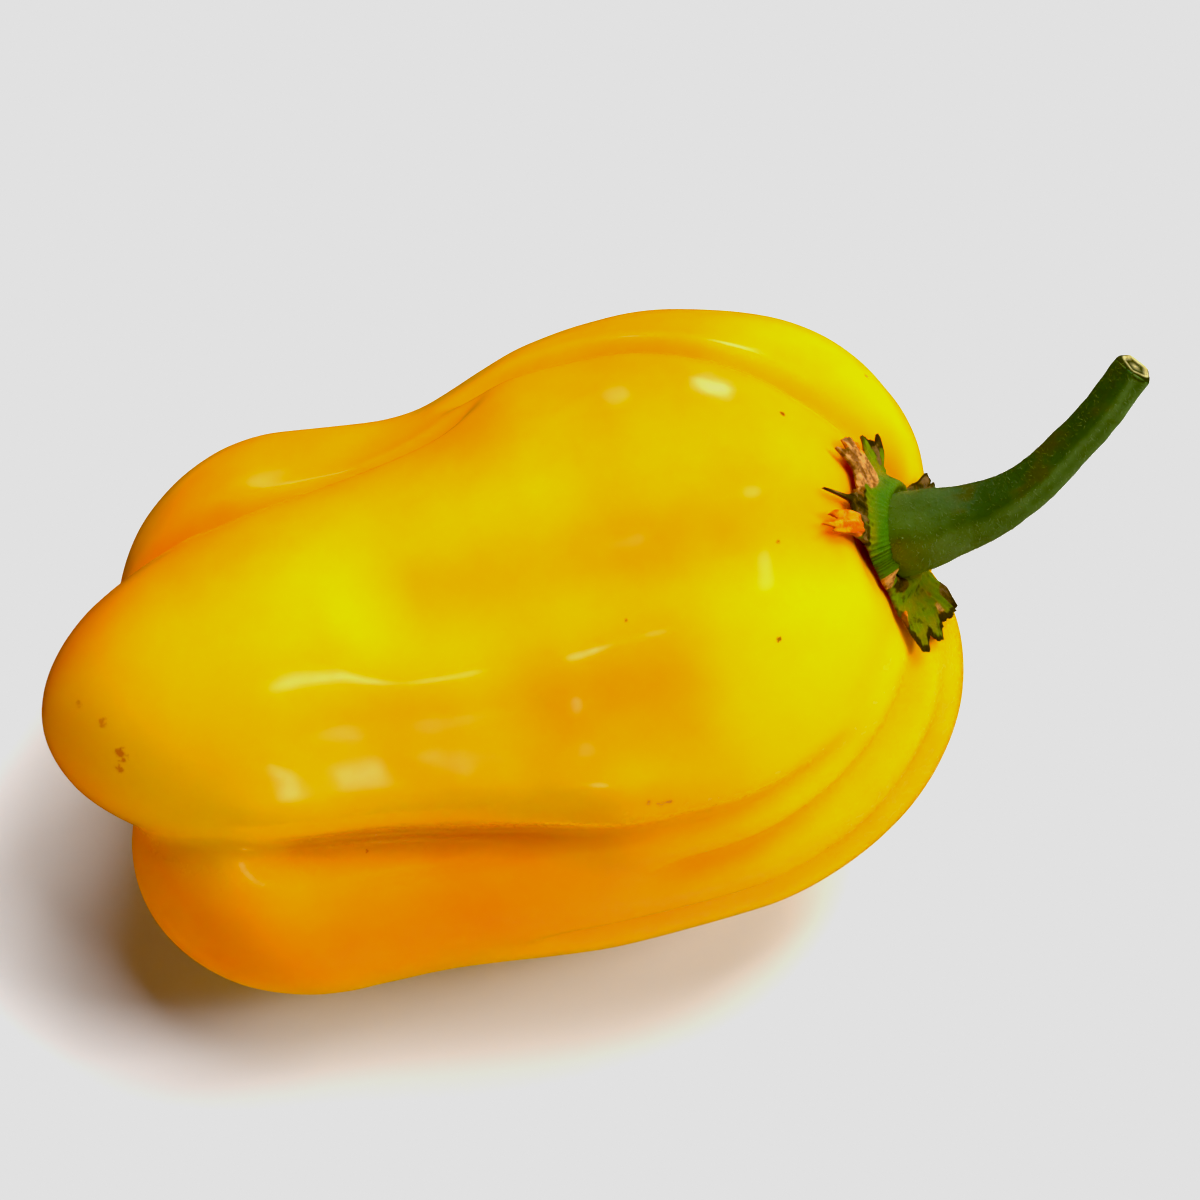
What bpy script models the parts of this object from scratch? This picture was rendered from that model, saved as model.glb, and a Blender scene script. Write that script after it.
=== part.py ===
"""A ripe yellow chilli pepper of the lantern type, as picked, lying on its side.

Three pieces, each a closed solid: the pod, the calyx on its shoulders and the stem.
Sizes are in metres and angles in degrees. +X runs from the pod's blossom end to its stem, +Z is up,
and the surface that the pepper lies on is z = 0, under the middle of the whole pepper.
The pod is shaped in a frame of its own, whose x axis is the pod's spine. An angle round the spine is 0 at
the top, 90 at the front (-Y), 180 underneath and 270 at the back.
"""

import math

import bmesh
import bpy
import numpy as np

# The pod's spine, from the blossom end to the shoulders
BLOSSOM_X = -0.0142  # where the three lobes stand full and apart
SHOULDER_X = 0.0066  # from where the pod is widest
SPINE_BEND = 5.7  # how fast the spine curves upwards towards both ends, per metre
TILT = 15.6  # the stem end lies higher
LEAN = -1.7  # the pod rolled towards its back
SINK = 0.0005  # depth of the flat spots on which the pod rests

# The pod's lobes. Each is a swept round: its angle, its distance from the spine and its radius, first at the
# blossom end and then at the shoulders, how far it reaches each way, over what length it rounds off there,
# and how much it narrows at its waist.
LOBES = {
    "top": {
        "angle": (-2, 14),
        "offset": (0.0056, 0.0031),
        "radius": (0.0132, 0.0163),
        "reach": (-0.0342, 0.0284),
        "cap": (0.0240, 0.0150),
        "waist": 0.0,
    },
    "front": {
        "angle": (118, 135),
        "offset": (0.0096, 0.0089),
        "radius": (0.0116, 0.0153),
        "reach": (-0.0327, 0.0304),
        "cap": (0.0137, 0.0202),
        "waist": -0.0004,
    },
    "back": {
        "angle": (253, 246),
        "offset": (0.0077, 0.0068),
        "radius": (0.0151, 0.0168),
        "reach": (-0.0308, 0.0314),
        "cap": (0.0157, 0.0228),
        "waist": 0.0019,
    },
    "under": {
        "angle": (190, 205),
        "offset": (0.0060, 0.0095),
        "radius": (0.0060, 0.0139),
        "reach": (-0.0200, 0.0304),
        "cap": (0.0120, 0.0172),
        "waist": 0.0,
    },
}
CORE = {"radius": (0.0090, 0.0190), "reach": (-0.0240, 0.0270), "cap": (0.0120, 0.0150), "waist": 0.0}
WAIST_X = -0.0050
WAIST_LENGTH = 0.0074
MELT = (0.0008, 0.0012)  # how softly the lobes run into each other, at the blossom end and at the shoulders

# Furrows in the skin, running along the pod: the angle at the start and at the end, where they start and end
# along the spine, how deep they are and their half width.
FURROWS = [
    {"angle": (298, 324), "along": (-0.002, 0.031), "depth": 0.0014, "half_width": 0.0018},
    {"angle": (6, 22), "along": (-0.010, 0.031), "depth": 0.0011, "half_width": 0.0034},
    {"angle": (64, 80), "along": (-0.024, 0.024), "depth": 0.0009, "half_width": 0.0018},
    {"angle": (89, 92), "along": (0.002, 0.032), "depth": 0.0012, "half_width": 0.0014},
    {"angle": (103, 111), "along": (-0.008, 0.032), "depth": 0.0013, "half_width": 0.0016},
    {"angle": (150, 150), "along": (0.004, 0.032), "depth": 0.0008, "half_width": 0.0014},
    {"angle": (176, 170), "along": (-0.020, 0.032), "depth": 0.0008, "half_width": 0.0016},
    {"angle": (232, 236), "along": (-0.002, 0.033), "depth": 0.0007, "half_width": 0.0018},
    {"angle": (268, 262), "along": (0.002, 0.033), "depth": 0.0007, "half_width": 0.0014},
]
FURROW_FADE = 0.007  # the length over which a furrow starts and ends
FURROW_GIRTH = (0.0010, 0.0050)  # furrows fade out between these distances from the spine, at the stem

# The grid of rays that finds the skin
RAY_STARTS = (0.017, -0.018)  # along the spine, for the stem end and for the blossom end
RAY_STARTS_CHANGE = (0.22, 0.78)  # between these shares of the rows the start moves from one to the other
ROWS_TO_MIDDLE = 0.06  # how much closer together the rows are along the pod's middle than at its ends
RAY_LENGTH = 0.045
HALVINGS = 26
POD_ROWS = 48
POD_SPOKES = 112

# The line on which the stem stands: where it starts on the spine, and how far it turns up and to the front
FOOT_START_X = 0.017
FOOT_UP = 24.0
FOOT_FRONT = 13.0
FLOOR_DEPTH = 0.0116  # how far along that line the floor between the shoulders lies, square to the line
FLOOR_RADIUS = 0.0055
FLOOR_ZONE = (0.012, 0.020)  # the floor's hold on the skin grows between these places along the spine

# The calyx: a thin cap on the skin round the stem, with a raised ring and torn, dried lobes
CALYX_GAP = 0.0003
CALYX_SEAT = 0.0029  # radius of the flat seat under the stem
CALYX_SEAT_RISE = 0.0010  # thickness of the seat
CALYX_RING = {"radius": 0.0037, "rise": 0.0012, "half_width": 0.00065}
CALYX_RIM = 0.0049  # how far the cap reaches between its lobes
CALYX_THICKNESS = 0.0007
SEPALS = [
    {"angle": 107, "half_width": 37, "reach": 0.0072, "lift": 0.0004},
    {"angle": 176, "half_width": 24, "reach": 0.0060, "lift": 0.0003},
    {"angle": 212, "half_width": 14, "reach": 0.0056, "lift": 0.0006},
    {"angle": 246, "half_width": 18, "reach": 0.0055, "lift": 0.0010},
    {"angle": 299, "half_width": 15, "reach": 0.0061, "lift": 0.0006},
    {"angle": 326, "half_width": 18, "reach": 0.0070, "lift": 0.0004},
    {"angle": 352, "half_width": 11, "reach": 0.0068, "lift": 0.0005},
    {"angle": 10, "half_width": 13, "reach": 0.0078, "lift": 0.0002},
    {"angle": 58, "half_width": 13, "reach": 0.0056, "lift": 0.0008},
]
SEPAL_POINT = 1.7  # 1 gives straight-sided lobes, and more gives rounder ones
TEETH = {17: 0.0005, 29: 0.0004}  # torn edge: how many teeth round the calyx, and how long
TEETH_START = 0.002  # the teeth are full this far beyond the rim
TEETH_TURN = 0.3
CALYX_SPOKES = 96
CALYX_RINGS = (CALYX_SEAT, 0.0032, 0.0037, 0.0043)  # rings of points from the seat's edge over the raised ring
CALYX_SHARES = (0.3, 0.6, 0.85, 1.0)  # and on from there to the edge, as shares of the way

# The stem: it leaves the calyx square to its seat, and bends upwards and to the back through these points,
# which are counted from its foot
STEM_STRAIGHT = 0.0026
STEM_ROUTE = (
    (0.0054, -0.0008, 0.0031),
    (0.0086, -0.0003, 0.0046),
    (0.0114, 0.0010, 0.0063),
    (0.0140, 0.0024, 0.0081),
    (0.0167, 0.0044, 0.0102),
)
STEM_FOOT_RADIUS = 0.0026
STEM_RADIUS = 0.00142
STEM_FLARE = 0.0065  # the length over which the foot narrows to the stem
STEM_FLARE_CURVE = 1.8
STEM_SLANT = 0.35  # rise of the cut end across its width
STEM_SIDES = 16
STEM_STEPS = 4  # rings of points between one point of the route and the next

SMOOTH_EDGE = 50  # edges sharper than this angle are drawn sharp


def ease(low, high, x):
    """0 below low and 1 above high, smooth between."""
    t = np.clip((x - low) / (high - low), 0.0, 1.0)
    return t * t * (3.0 - 2.0 * t)


def between(pair, share):
    return pair[0] + (pair[1] - pair[0]) * share


def swept_radius(lobe, x, toward_shoulder):
    """The radius of a lobe or of the core at x: full along its middle, and rounded off at both ends."""
    reach, cap = lobe["reach"], lobe["cap"]
    at_blossom = np.clip(((reach[0] + cap[0]) - x) / cap[0], 0.0, 1.0)
    at_stem = np.clip((x - (reach[1] - cap[1])) / cap[1], 0.0, 1.0)
    past = np.maximum(x - reach[1], 0.0) + np.maximum(reach[0] - x, 0.0)
    narrowing = lobe["waist"] * np.exp(-(((x - WAIST_X) / WAIST_LENGTH) ** 2))
    full = between(lobe["radius"], toward_shoulder) - narrowing
    return full * np.sqrt((1.0 - at_blossom**2) * (1.0 - at_stem**2)) - past


def spine_height(x):
    return 0.5 * SPINE_BEND * x * x


def stem_line():
    """The point on the spine and the direction of the line on which the stem stands."""
    start = np.array([FOOT_START_X, 0.0, spine_height(FOOT_START_X)])
    axis = np.array([1.0, -math.tan(math.radians(FOOT_FRONT)), math.tan(math.radians(FOOT_UP))])
    return start, axis / np.linalg.norm(axis)


def furrow_depth(x, turn, girth):
    """How deep the furrows are at x, at an angle round the spine in radians, at a distance from the spine."""
    depth = np.zeros_like(x)
    for furrow in FURROWS:
        low, high = furrow["along"]
        middle = np.radians(between(furrow["angle"], np.clip((x - low) / (high - low), 0.0, 1.0)))
        across = girth * np.arctan2(np.sin(turn - middle), np.cos(turn - middle))
        strength = ease(low, low + FURROW_FADE, x) * (1.0 - ease(high - FURROW_FADE, high, x))
        depth += furrow["depth"] * strength * np.exp(-((across / furrow["half_width"]) ** 2))
    return depth * ease(*FURROW_GIRTH, girth)


def depth_inside(points, furrowed=True):
    """How far each point is outside the skin, in metres; negative inside."""
    x, y, z = points[..., 0], points[..., 1], points[..., 2] - spine_height(points[..., 0])
    toward_shoulder = ease(BLOSSOM_X, SHOULDER_X, x)
    melt = between(MELT, toward_shoulder)
    girth = np.hypot(y, z)
    total = np.exp(np.clip((swept_radius(CORE, x, toward_shoulder) - girth) / melt, -60.0, 60.0))
    for lobe in LOBES.values():
        angle = np.radians(between(lobe["angle"], toward_shoulder))
        offset = between(lobe["offset"], toward_shoulder)
        outside = np.hypot(y + offset * np.sin(angle), z - offset * np.cos(angle))
        total += np.exp(np.clip((swept_radius(lobe, x, toward_shoulder) - outside) / melt, -60.0, 60.0))
    outside = -melt * np.log(total + 1e-30)
    start, axis = stem_line()
    off_stem = np.linalg.norm(np.cross(points - start, axis), axis=-1)
    level = ease(*FLOOR_ZONE, x) * np.exp(-((off_stem / FLOOR_RADIUS) ** 4))
    outside = between((outside, (points - start) @ axis - FLOOR_DEPTH), level)
    if furrowed:
        outside += furrow_depth(x, np.arctan2(-y, z), girth)
    return outside


def skin_along(start, ray, furrowed=True):
    """Where rays from inside the pod meet its skin."""
    near, far = np.zeros(ray.shape[:-1]), np.full(ray.shape[:-1], RAY_LENGTH)
    for _ in range(HALVINGS):
        middle = 0.5 * (near + far)
        inside = depth_inside(start + ray * middle[..., None], furrowed) < 0.0
        near, far = np.where(inside, middle, near), np.where(inside, far, middle)
    return start + ray * near[..., None]


def rays(swing, turn, axis=(1.0, 0.0, 0.0)):
    """Directions at angles swing from the axis and turn round it, in the pod's frame, with 0 at the top."""
    axis = np.array(axis) / np.linalg.norm(axis)
    up = np.array([-axis[2], 0.0, axis[0]]) / np.hypot(axis[0], axis[2])
    front = np.cross(axis, up)
    swing, turn = np.asarray(swing)[..., None], np.asarray(turn)[..., None]
    return np.cos(swing) * axis + np.sin(swing) * (np.cos(turn) * up + np.sin(turn) * front)


def skin_points(rows, spokes):
    """A grid of points on the skin, by rays from the spine, from the stem end to the blossom end."""
    share = np.linspace(0.0, 1.0, rows)
    swing = math.pi * (share + ROWS_TO_MIDDLE * np.sin(2 * math.pi * share))
    start_x = between(RAY_STARTS, ease(*RAY_STARTS_CHANGE, share))
    turn = np.linspace(0.0, 2 * math.pi, spokes, endpoint=False)
    start = np.stack([start_x, np.zeros(rows), spine_height(start_x)], axis=-1)[:, None, :]
    return skin_along(start, rays(swing[:, None], turn[None, :]))


def outward(points):
    """The direction straight out of the smooth skin."""
    step = 0.0001
    ahead = [depth_inside(points + step * side, False) for side in np.eye(3)]
    behind = [depth_inside(points - step * side, False) for side in np.eye(3)]
    slope = np.stack(ahead, axis=-1) - np.stack(behind, axis=-1)
    return slope / np.linalg.norm(slope, axis=-1, keepdims=True)


def triangle_wave(turns):
    return 4.0 * np.abs(turns - np.floor(turns + 0.5)) - 1.0


def calyx_edge(turn):
    """How far the calyx reaches from the stem's middle, and how far its edge lifts off, round the stem."""
    reach, lift = np.full_like(turn, CALYX_RIM), np.zeros_like(turn)
    for sepal in SEPALS:
        off = turn - math.radians(sepal["angle"])
        away = np.degrees(np.arctan2(np.sin(off), np.cos(off)))
        shape = np.clip(1.0 - np.abs(away / sepal["half_width"]) ** SEPAL_POINT, 0.0, 1.0)
        reach = np.maximum(reach, CALYX_RIM + (sepal["reach"] - CALYX_RIM) * shape)
        lift = np.maximum(lift, sepal["lift"] * shape)
    torn = ease(CALYX_RIM, CALYX_RIM + TEETH_START, reach)
    for count, length in TEETH.items():
        reach += length * torn * triangle_wave(turn / (2 * math.pi) * count + TEETH_TURN)
    return reach, lift


def calyx_rise(distance):
    """Thickness of the cap at a distance from the stem's middle."""
    ring = CALYX_RING["rise"] * np.exp(-(((distance - CALYX_RING["radius"]) / CALYX_RING["half_width"]) ** 2))
    return CALYX_THICKNESS + ring


def calyx_points(spokes, rings, shares):
    """Rings of points from the middle of the seat out to the edge, and back under to the middle."""
    start, axis = stem_line()
    foot = skin_along(start, axis, False)
    turn = np.linspace(0.0, 2 * math.pi, spokes, endpoint=False)
    reach, lift = calyx_edge(turn)
    steps = [(np.full_like(turn, ring), 0.0) for ring in (0.0, *rings)]
    steps += [(rings[-1] + (reach - rings[-1]) * share, share) for share in shares]
    upper, under = [], []
    for distance, share in steps:
        skin = skin_along(start, rays(distance / np.linalg.norm(foot - start), turn, axis), False)
        normal = outward(skin)
        under.append(skin + normal * (CALYX_GAP + lift[:, None] * share**2))
        if distance[0] <= CALYX_SEAT:
            level = skin - ((skin - foot) @ axis)[:, None] * axis
            upper.append(level + axis * (CALYX_GAP + CALYX_SEAT_RISE))
        else:
            upper.append(under[-1] + normal * calyx_rise(distance)[:, None])
    return np.stack(upper + under[::-1])


def smooth_path(points, steps):
    """A smooth curve through the points, in a number of steps from each to the next."""
    slope = np.gradient(points, axis=0)
    share = np.linspace(0.0, 1.0, steps, endpoint=False)[:, None]
    path = []
    for k in range(len(points) - 1):
        bulge = share * (1.0 - share)
        straight = points[k] * (1.0 - share) + points[k + 1] * share
        step = points[k + 1] - points[k]
        path.append(straight + bulge * ((1.0 - share) * (slope[k] - step) - share * (slope[k + 1] - step)))
    return np.concatenate([*path, points[-1:]])


def stem_points(foot, axis, steps, sides):
    """Rings of points from the middle of the foot, along the stem and over its cut end, in the lying pose."""
    path = foot + smooth_path(np.array([np.zeros(3), axis * STEM_STRAIGHT, *STEM_ROUTE]), steps)
    along = np.gradient(path, axis=0)
    along /= np.linalg.norm(along, axis=1, keepdims=True)
    side = np.cross(along, np.array([0.0, 0.0, 1.0]))
    side /= np.linalg.norm(side, axis=1, keepdims=True)
    up = np.cross(side, along)
    length = np.concatenate([[0.0], np.cumsum(np.linalg.norm(np.diff(path, axis=0), axis=1))])
    flare = np.exp(-((length / STEM_FLARE) ** STEM_FLARE_CURVE))
    radius = between((STEM_RADIUS, STEM_FOOT_RADIUS), flare)
    turn = np.linspace(0.0, 2 * math.pi, sides, endpoint=False)
    round_it = np.cos(turn)[None, :, None] * side[:, None, :] + np.sin(turn)[None, :, None] * up[:, None, :]
    tube = path[:, None, :] + radius[:, None, None] * round_it
    tube[-1] += (STEM_SLANT * STEM_RADIUS * np.cos(turn))[:, None] * -along[-1]
    ends = [np.repeat(tube[k].mean(axis=0)[None, :], sides, axis=0)[None] for k in (0, -1)]
    return np.concatenate([ends[0], tube, ends[1]])


def laid_down(points):
    """Pod frame to the lying pose: leaned over, then tilted with the stem end up."""
    lean, tilt = math.radians(LEAN), math.radians(TILT)
    x, y, z = points[..., 0], points[..., 1], points[..., 2]
    y, z = y * math.cos(lean) + z * math.sin(lean), z * math.cos(lean) - y * math.sin(lean)
    return np.stack(
        [x * math.cos(tilt) - z * math.sin(tilt), y, x * math.sin(tilt) + z * math.cos(tilt)], axis=-1
    )


def grid_mesh(name, points):
    """A closed skin over a grid of points, whose first and last row each meet in one point."""
    shape = bmesh.new()
    rings = [[shape.verts.new(p) for p in row] for row in points[1:-1]]
    for upper, lower in zip(rings, rings[1:]):
        for i in range(len(upper)):
            j = (i + 1) % len(upper)
            shape.faces.new((upper[i], upper[j], lower[j], lower[i]))
    for ring, pole in ((rings[0], points[0][0]), (rings[-1], points[-1][0])):
        tip = shape.verts.new(pole)
        for i in range(len(ring)):
            shape.faces.new((ring[i], ring[(i + 1) % len(ring)], tip))
    bmesh.ops.recalc_face_normals(shape, faces=shape.faces)
    mesh = bpy.data.meshes.new(name)
    shape.to_mesh(mesh)
    shape.free()
    return mesh


def finish(name, color, roughness):
    material = bpy.data.materials.new(name)
    material.use_nodes = True
    shader = material.node_tree.nodes["Principled BSDF"]
    shader.inputs["Base Color"].default_value = (*color, 1.0)
    shader.inputs["Roughness"].default_value = roughness
    return material


def add(name, points, material):
    mesh = grid_mesh(name, points)
    mesh.shade_smooth()
    mesh.set_sharp_from_angle(angle=math.radians(SMOOTH_EDGE))
    mesh.materials.append(material)
    bpy.context.scene.collection.objects.link(bpy.data.objects.new(name, mesh))


def main():
    for thing in list(bpy.data.objects):
        bpy.data.objects.remove(thing)

    pod = laid_down(skin_points(POD_ROWS, POD_SPOKES))
    calyx = laid_down(calyx_points(CALYX_SPOKES, CALYX_RINGS, CALYX_SHARES))
    start, axis = stem_line()
    seat = skin_along(start, axis, False) + axis * (CALYX_GAP + CALYX_SEAT_RISE + CALYX_GAP)
    stem = stem_points(laid_down(seat), laid_down(axis), STEM_STEPS, STEM_SIDES)

    every = np.concatenate([p.reshape(-1, 3) for p in (pod, calyx, stem)])
    low, high = every.min(axis=0), every.max(axis=0)
    shift = -np.array([0.5 * (low[0] + high[0]), 0.5 * (low[1] + high[1]), low[2] + SINK])
    pod, calyx, stem = pod + shift, calyx + shift, stem + shift
    pod[..., 2] = np.maximum(pod[..., 2], 0.0)

    add("pod", pod, finish("ripe skin", (0.90, 0.52, 0.01), 0.25))
    add("calyx", calyx, finish("dried green", (0.13, 0.14, 0.02), 0.7))
    add("stem", stem, finish("green stem", (0.05, 0.09, 0.01), 0.5))


if __name__ == "__main__":
    main()
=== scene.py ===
"""A ripe yellow chilli pepper of the lantern type, lying on its side: the glossy lobed pod, the torn and
dried calyx, the downy stem, and the pale table, the lights and the camera round them.

Lengths are in metres and angles in degrees. The pod is shaped in a frame of its own, whose x axis is the
pod's spine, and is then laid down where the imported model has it. An angle round the spine, or round the line
on which the stem stands, is 0 at the top, 90 at the front, 180 underneath and 270 at the back.
"""

import math

import bmesh
import bpy
import numpy as np
from mathutils import Matrix, Vector, noise


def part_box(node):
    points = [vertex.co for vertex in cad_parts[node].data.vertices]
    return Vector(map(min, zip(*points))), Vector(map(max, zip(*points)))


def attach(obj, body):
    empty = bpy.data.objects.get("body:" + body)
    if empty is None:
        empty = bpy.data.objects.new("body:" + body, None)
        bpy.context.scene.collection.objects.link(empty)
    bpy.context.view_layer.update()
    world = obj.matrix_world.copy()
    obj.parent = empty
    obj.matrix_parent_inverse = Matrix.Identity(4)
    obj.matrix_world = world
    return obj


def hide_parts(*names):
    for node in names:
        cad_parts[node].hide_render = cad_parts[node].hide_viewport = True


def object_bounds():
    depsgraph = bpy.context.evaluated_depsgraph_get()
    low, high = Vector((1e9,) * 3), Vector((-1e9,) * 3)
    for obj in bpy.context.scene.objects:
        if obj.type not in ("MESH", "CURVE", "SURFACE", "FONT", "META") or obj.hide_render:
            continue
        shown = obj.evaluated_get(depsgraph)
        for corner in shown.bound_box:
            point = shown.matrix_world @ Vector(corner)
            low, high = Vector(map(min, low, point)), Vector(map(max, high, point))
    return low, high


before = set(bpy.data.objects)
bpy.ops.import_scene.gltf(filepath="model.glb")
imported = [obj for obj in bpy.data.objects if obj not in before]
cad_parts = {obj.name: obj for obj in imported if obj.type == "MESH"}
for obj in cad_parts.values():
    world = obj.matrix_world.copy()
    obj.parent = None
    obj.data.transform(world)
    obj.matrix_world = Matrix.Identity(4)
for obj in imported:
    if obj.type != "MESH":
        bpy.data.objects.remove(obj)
SOLID_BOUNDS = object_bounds()

bl_info = {
    "name": "Chilli Pepper",
    "version": (1, 0, 0),
    "blender": (4, 5, 0),
    "location": "View3D > Sidebar > Pepper",
    "description": "Makes a ripe yellow chilli pepper, lying on a pale table",
    "category": "Add Mesh",
}

# The pod's spine, from the blossom end to the shoulders
BLOSSOM_X = -0.0142
SHOULDER_X = 0.0066
SPINE_BEND = 5.7
TILT = 15.6
LEAN = -1.7

# The pod's lobes: each is a swept round, with its values at the blossom end and at the shoulders
LOBES = {
    "top": {
        "angle": (-2, 14),
        "offset": (0.0056, 0.0031),
        "radius": (0.0132, 0.0163),
        "reach": (-0.0342, 0.0284),
        "cap": (0.0240, 0.0150),
        "waist": 0.0,
    },
    "front": {
        "angle": (118, 135),
        "offset": (0.0096, 0.0089),
        "radius": (0.0116, 0.0153),
        "reach": (-0.0327, 0.0304),
        "cap": (0.0137, 0.0202),
        "waist": -0.0004,
    },
    "back": {
        "angle": (253, 246),
        "offset": (0.0077, 0.0068),
        "radius": (0.0151, 0.0168),
        "reach": (-0.0301, 0.0314),
        "cap": (0.0157, 0.0228),
        "waist": 0.0019,
    },
    "under": {
        "angle": (190, 205),
        "offset": (0.0060, 0.0095),
        "radius": (0.0060, 0.0139),
        "reach": (-0.0200, 0.0304),
        "cap": (0.0120, 0.0172),
        "waist": 0.0,
    },
}
CORE = {"radius": (0.0090, 0.0190), "reach": (-0.0240, 0.0270), "cap": (0.0120, 0.0150), "waist": 0.0}
WAIST_X = -0.0050
WAIST_LENGTH = 0.0074
MELT = (0.0006, 0.0010)

# The furrows: angle at the start and at the end, stretch along the spine, depth and half width
FURROWS = [
    {"angle": (309, 320), "along": (-0.032, -0.012), "depth": 0.0012, "half_width": 0.0011},
    {"angle": (322, 311), "along": (-0.020, 0.004), "depth": 0.0012, "half_width": 0.0011},
    {"angle": (298, 324), "along": (-0.002, 0.031), "depth": 0.0014, "half_width": 0.0012},
    {"angle": (6, 22), "along": (-0.010, 0.031), "depth": 0.0011, "half_width": 0.0034},
    {"angle": (64, 80), "along": (-0.024, 0.024), "depth": 0.0010, "half_width": 0.0013},
    {"angle": (89, 92), "along": (0.002, 0.032), "depth": 0.0012, "half_width": 0.0013},
    {"angle": (103, 111), "along": (-0.008, 0.032), "depth": 0.0013, "half_width": 0.0015},
    {"angle": (150, 150), "along": (0.004, 0.032), "depth": 0.0008, "half_width": 0.0014},
    {"angle": (176, 170), "along": (-0.020, 0.032), "depth": 0.0008, "half_width": 0.0016},
    {"angle": (232, 236), "along": (-0.002, 0.033), "depth": 0.0007, "half_width": 0.0018},
    {"angle": (268, 262), "along": (0.002, 0.033), "depth": 0.0007, "half_width": 0.0014},
]
FURROW_FADE = 0.007
FURROW_GIRTH = (0.0010, 0.0050)  # from the spine
FURROW_FREE = (0.0030, 0.0054)  # from the line on which the stem stands
FULL_FURROW = 0.0012  # as deep as this, a furrow has all its colour

# The rays that find the skin
RAY_STARTS = (0.017, -0.018)
RAY_STARTS_CHANGE = (0.22, 0.78)
ROWS_TO_MIDDLE = 0.06
RAY_LENGTH = 0.045
HALVINGS = 26

# The line on which the stem stands, and the floor between the shoulders, square to it
FOOT_START_X = 0.017
FOOT_UP = 24.0
FOOT_FRONT = 13.0
FLOOR_DEPTH = 0.0116
FLOOR_RADIUS = 0.0055
FLOOR_ZONE = (0.012, 0.020)

# The calyx: its gap to the skin, the seat under the stem and the ring round it
GAP = 0.0003
SEAT = 0.0029
SEAT_RISE = 0.0010
RING_RADIUS = 0.0035
RING_RISE = 0.0012
RING_HALF_WIDTH = 0.00050

# The calyx's rings of points, from the stem's line outwards, the wear of its ring and its wrinkles
CALYX_STEPS = (0.0, 0.0016, SEAT - 0.0001, SEAT, *np.linspace(SEAT + 0.0001, 0.0033, 6))
CALYX_SHARES = np.linspace(1 / 32, 1.0, 32)  # from the last step to the torn edge
RING_WORN = [(80, 16, 0.7), (160, 60, 0.45)]  # angle, half angle and how much of the ring has gone
RING_SHOULDER = 0.0006  # so close to the torn edge the ring runs down
WRINKLES = 61
WRINKLE = 0.00007
WRINKLE_DRIFT = 9.0
CRUMPLE = 0.00022
CRUMPLE_SHARES = (0.1, 0.6)

# The calyx's torn edge, corner by corner: angle round the stem, and millimetres from its middle
CALYX_EDGE = [
    (0, 5.6), (2, 6.9), (4, 7.2), (5.5, 6.5), (8, 7.6), (9.5, 6.9), (11, 7.1), (13, 5.8), (17, 5.1),
    (24, 4.4), (34, 3.9), (44, 3.7), (54, 3.6), (60, 3.8), (66, 4.0), (74, 3.9), (80, 4.2), (88, 4.8),
    (95, 5.3), (103, 6.2), (109, 6.9), (113, 6.8), (116, 6.1), (121, 6.6), (127, 6.7), (131, 6.1),
    (138, 6.2), (146, 6.5), (154, 6.3), (160, 5.2), (170, 4.6), (178, 5.6), (186, 5.9), (193, 4.8),
    (205, 4.4), (213, 5.6), (219, 6.9), (222, 7.2), (226, 6.1), (232, 6.3), (236, 5.1), (241, 4.3),
    (255, 3.9), (266, 4.0), (272, 4.6), (276, 5.6), (279, 6.4), (282, 5.8), (288, 6.1), (293, 6.4),
    (297, 5.5), (302, 5.3), (306, 5.9), (313, 6.6), (320, 6.8), (324, 6.3), (329, 7.0), (331, 5.6),
    (336, 5.2), (341, 5.0), (348, 5.4), (351.4, 5.7), (352.7, 7.3), (353.3, 7.4), (354.6, 5.7),
]
EDGE_RAGS = ((0.00016, 0.035, 3), (0.00008, 0.012, 4))  # height, size and seed

# The calyx's tints, some where its tissue has dried: for each tint, angle and half angle, from and to how many
# millimetres from the stem's middle, and how much
CALYX_TINTS = {
    "papery": [
        (318, 17, 4.1, 9.0, 1.0), (338, 10, 4.6, 9.0, 0.8), (66, 8, 3.5, 9.0, 1.0), (136, 5, 4.6, 6.0, 0.5),
    ],
    "orange": [
        (8, 8, 5.2, 9.0, 1.0), (306, 8, 5.2, 9.0, 0.6), (322, 5, 6.1, 9.0, 0.5), (96, 4, 4.8, 9.0, 0.6),
    ],
    "brown": [
        (352, 20, 4.4, 6.1, 0.9), (14, 12, 4.4, 5.4, 0.8), (86, 10, 3.1, 4.0, 1.0), (226, 18, 4.2, 9.0, 1.0),
        (284, 9, 4.6, 9.0, 0.75), (152, 9, 5.3, 9.0, 0.9), (353, 2, 5.6, 9.0, 1.0), (200, 22, 4.4, 9.0, 0.6),
    ],
    "ridge": [(0, 78, 3.1, 4.1, 1.0), (318, 30, 3.1, 4.1, 0.8)],
    "edge": [
        (122, 44, 0.0, 9.0, 1.0), (284, 12, 0.0, 9.0, 1.0), (226, 22, 0.0, 9.0, 1.0), (353, 3, 0.0, 9.0, 1.0),
        (318, 20, 0.0, 9.0, 0.35), (20, 20, 0.0, 9.0, 0.5), (186, 14, 0.0, 9.0, 0.8),
    ],
}
TINT_FADE = 0.3  # millimetres
RIM_WIDTH = 0.0005
RIM_START = (0.0044, 0.0050)  # closer to the stem than this there is no dark rim

# Where the calyx's lobes stand up from the skin: angle, half angle and height
LIFTS = [
    (109, 16, 0.0003), (146, 14, 0.0005), (226, 12, 0.0004), (284, 12, 0.0003), (318, 14, 0.0003),
]

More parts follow.
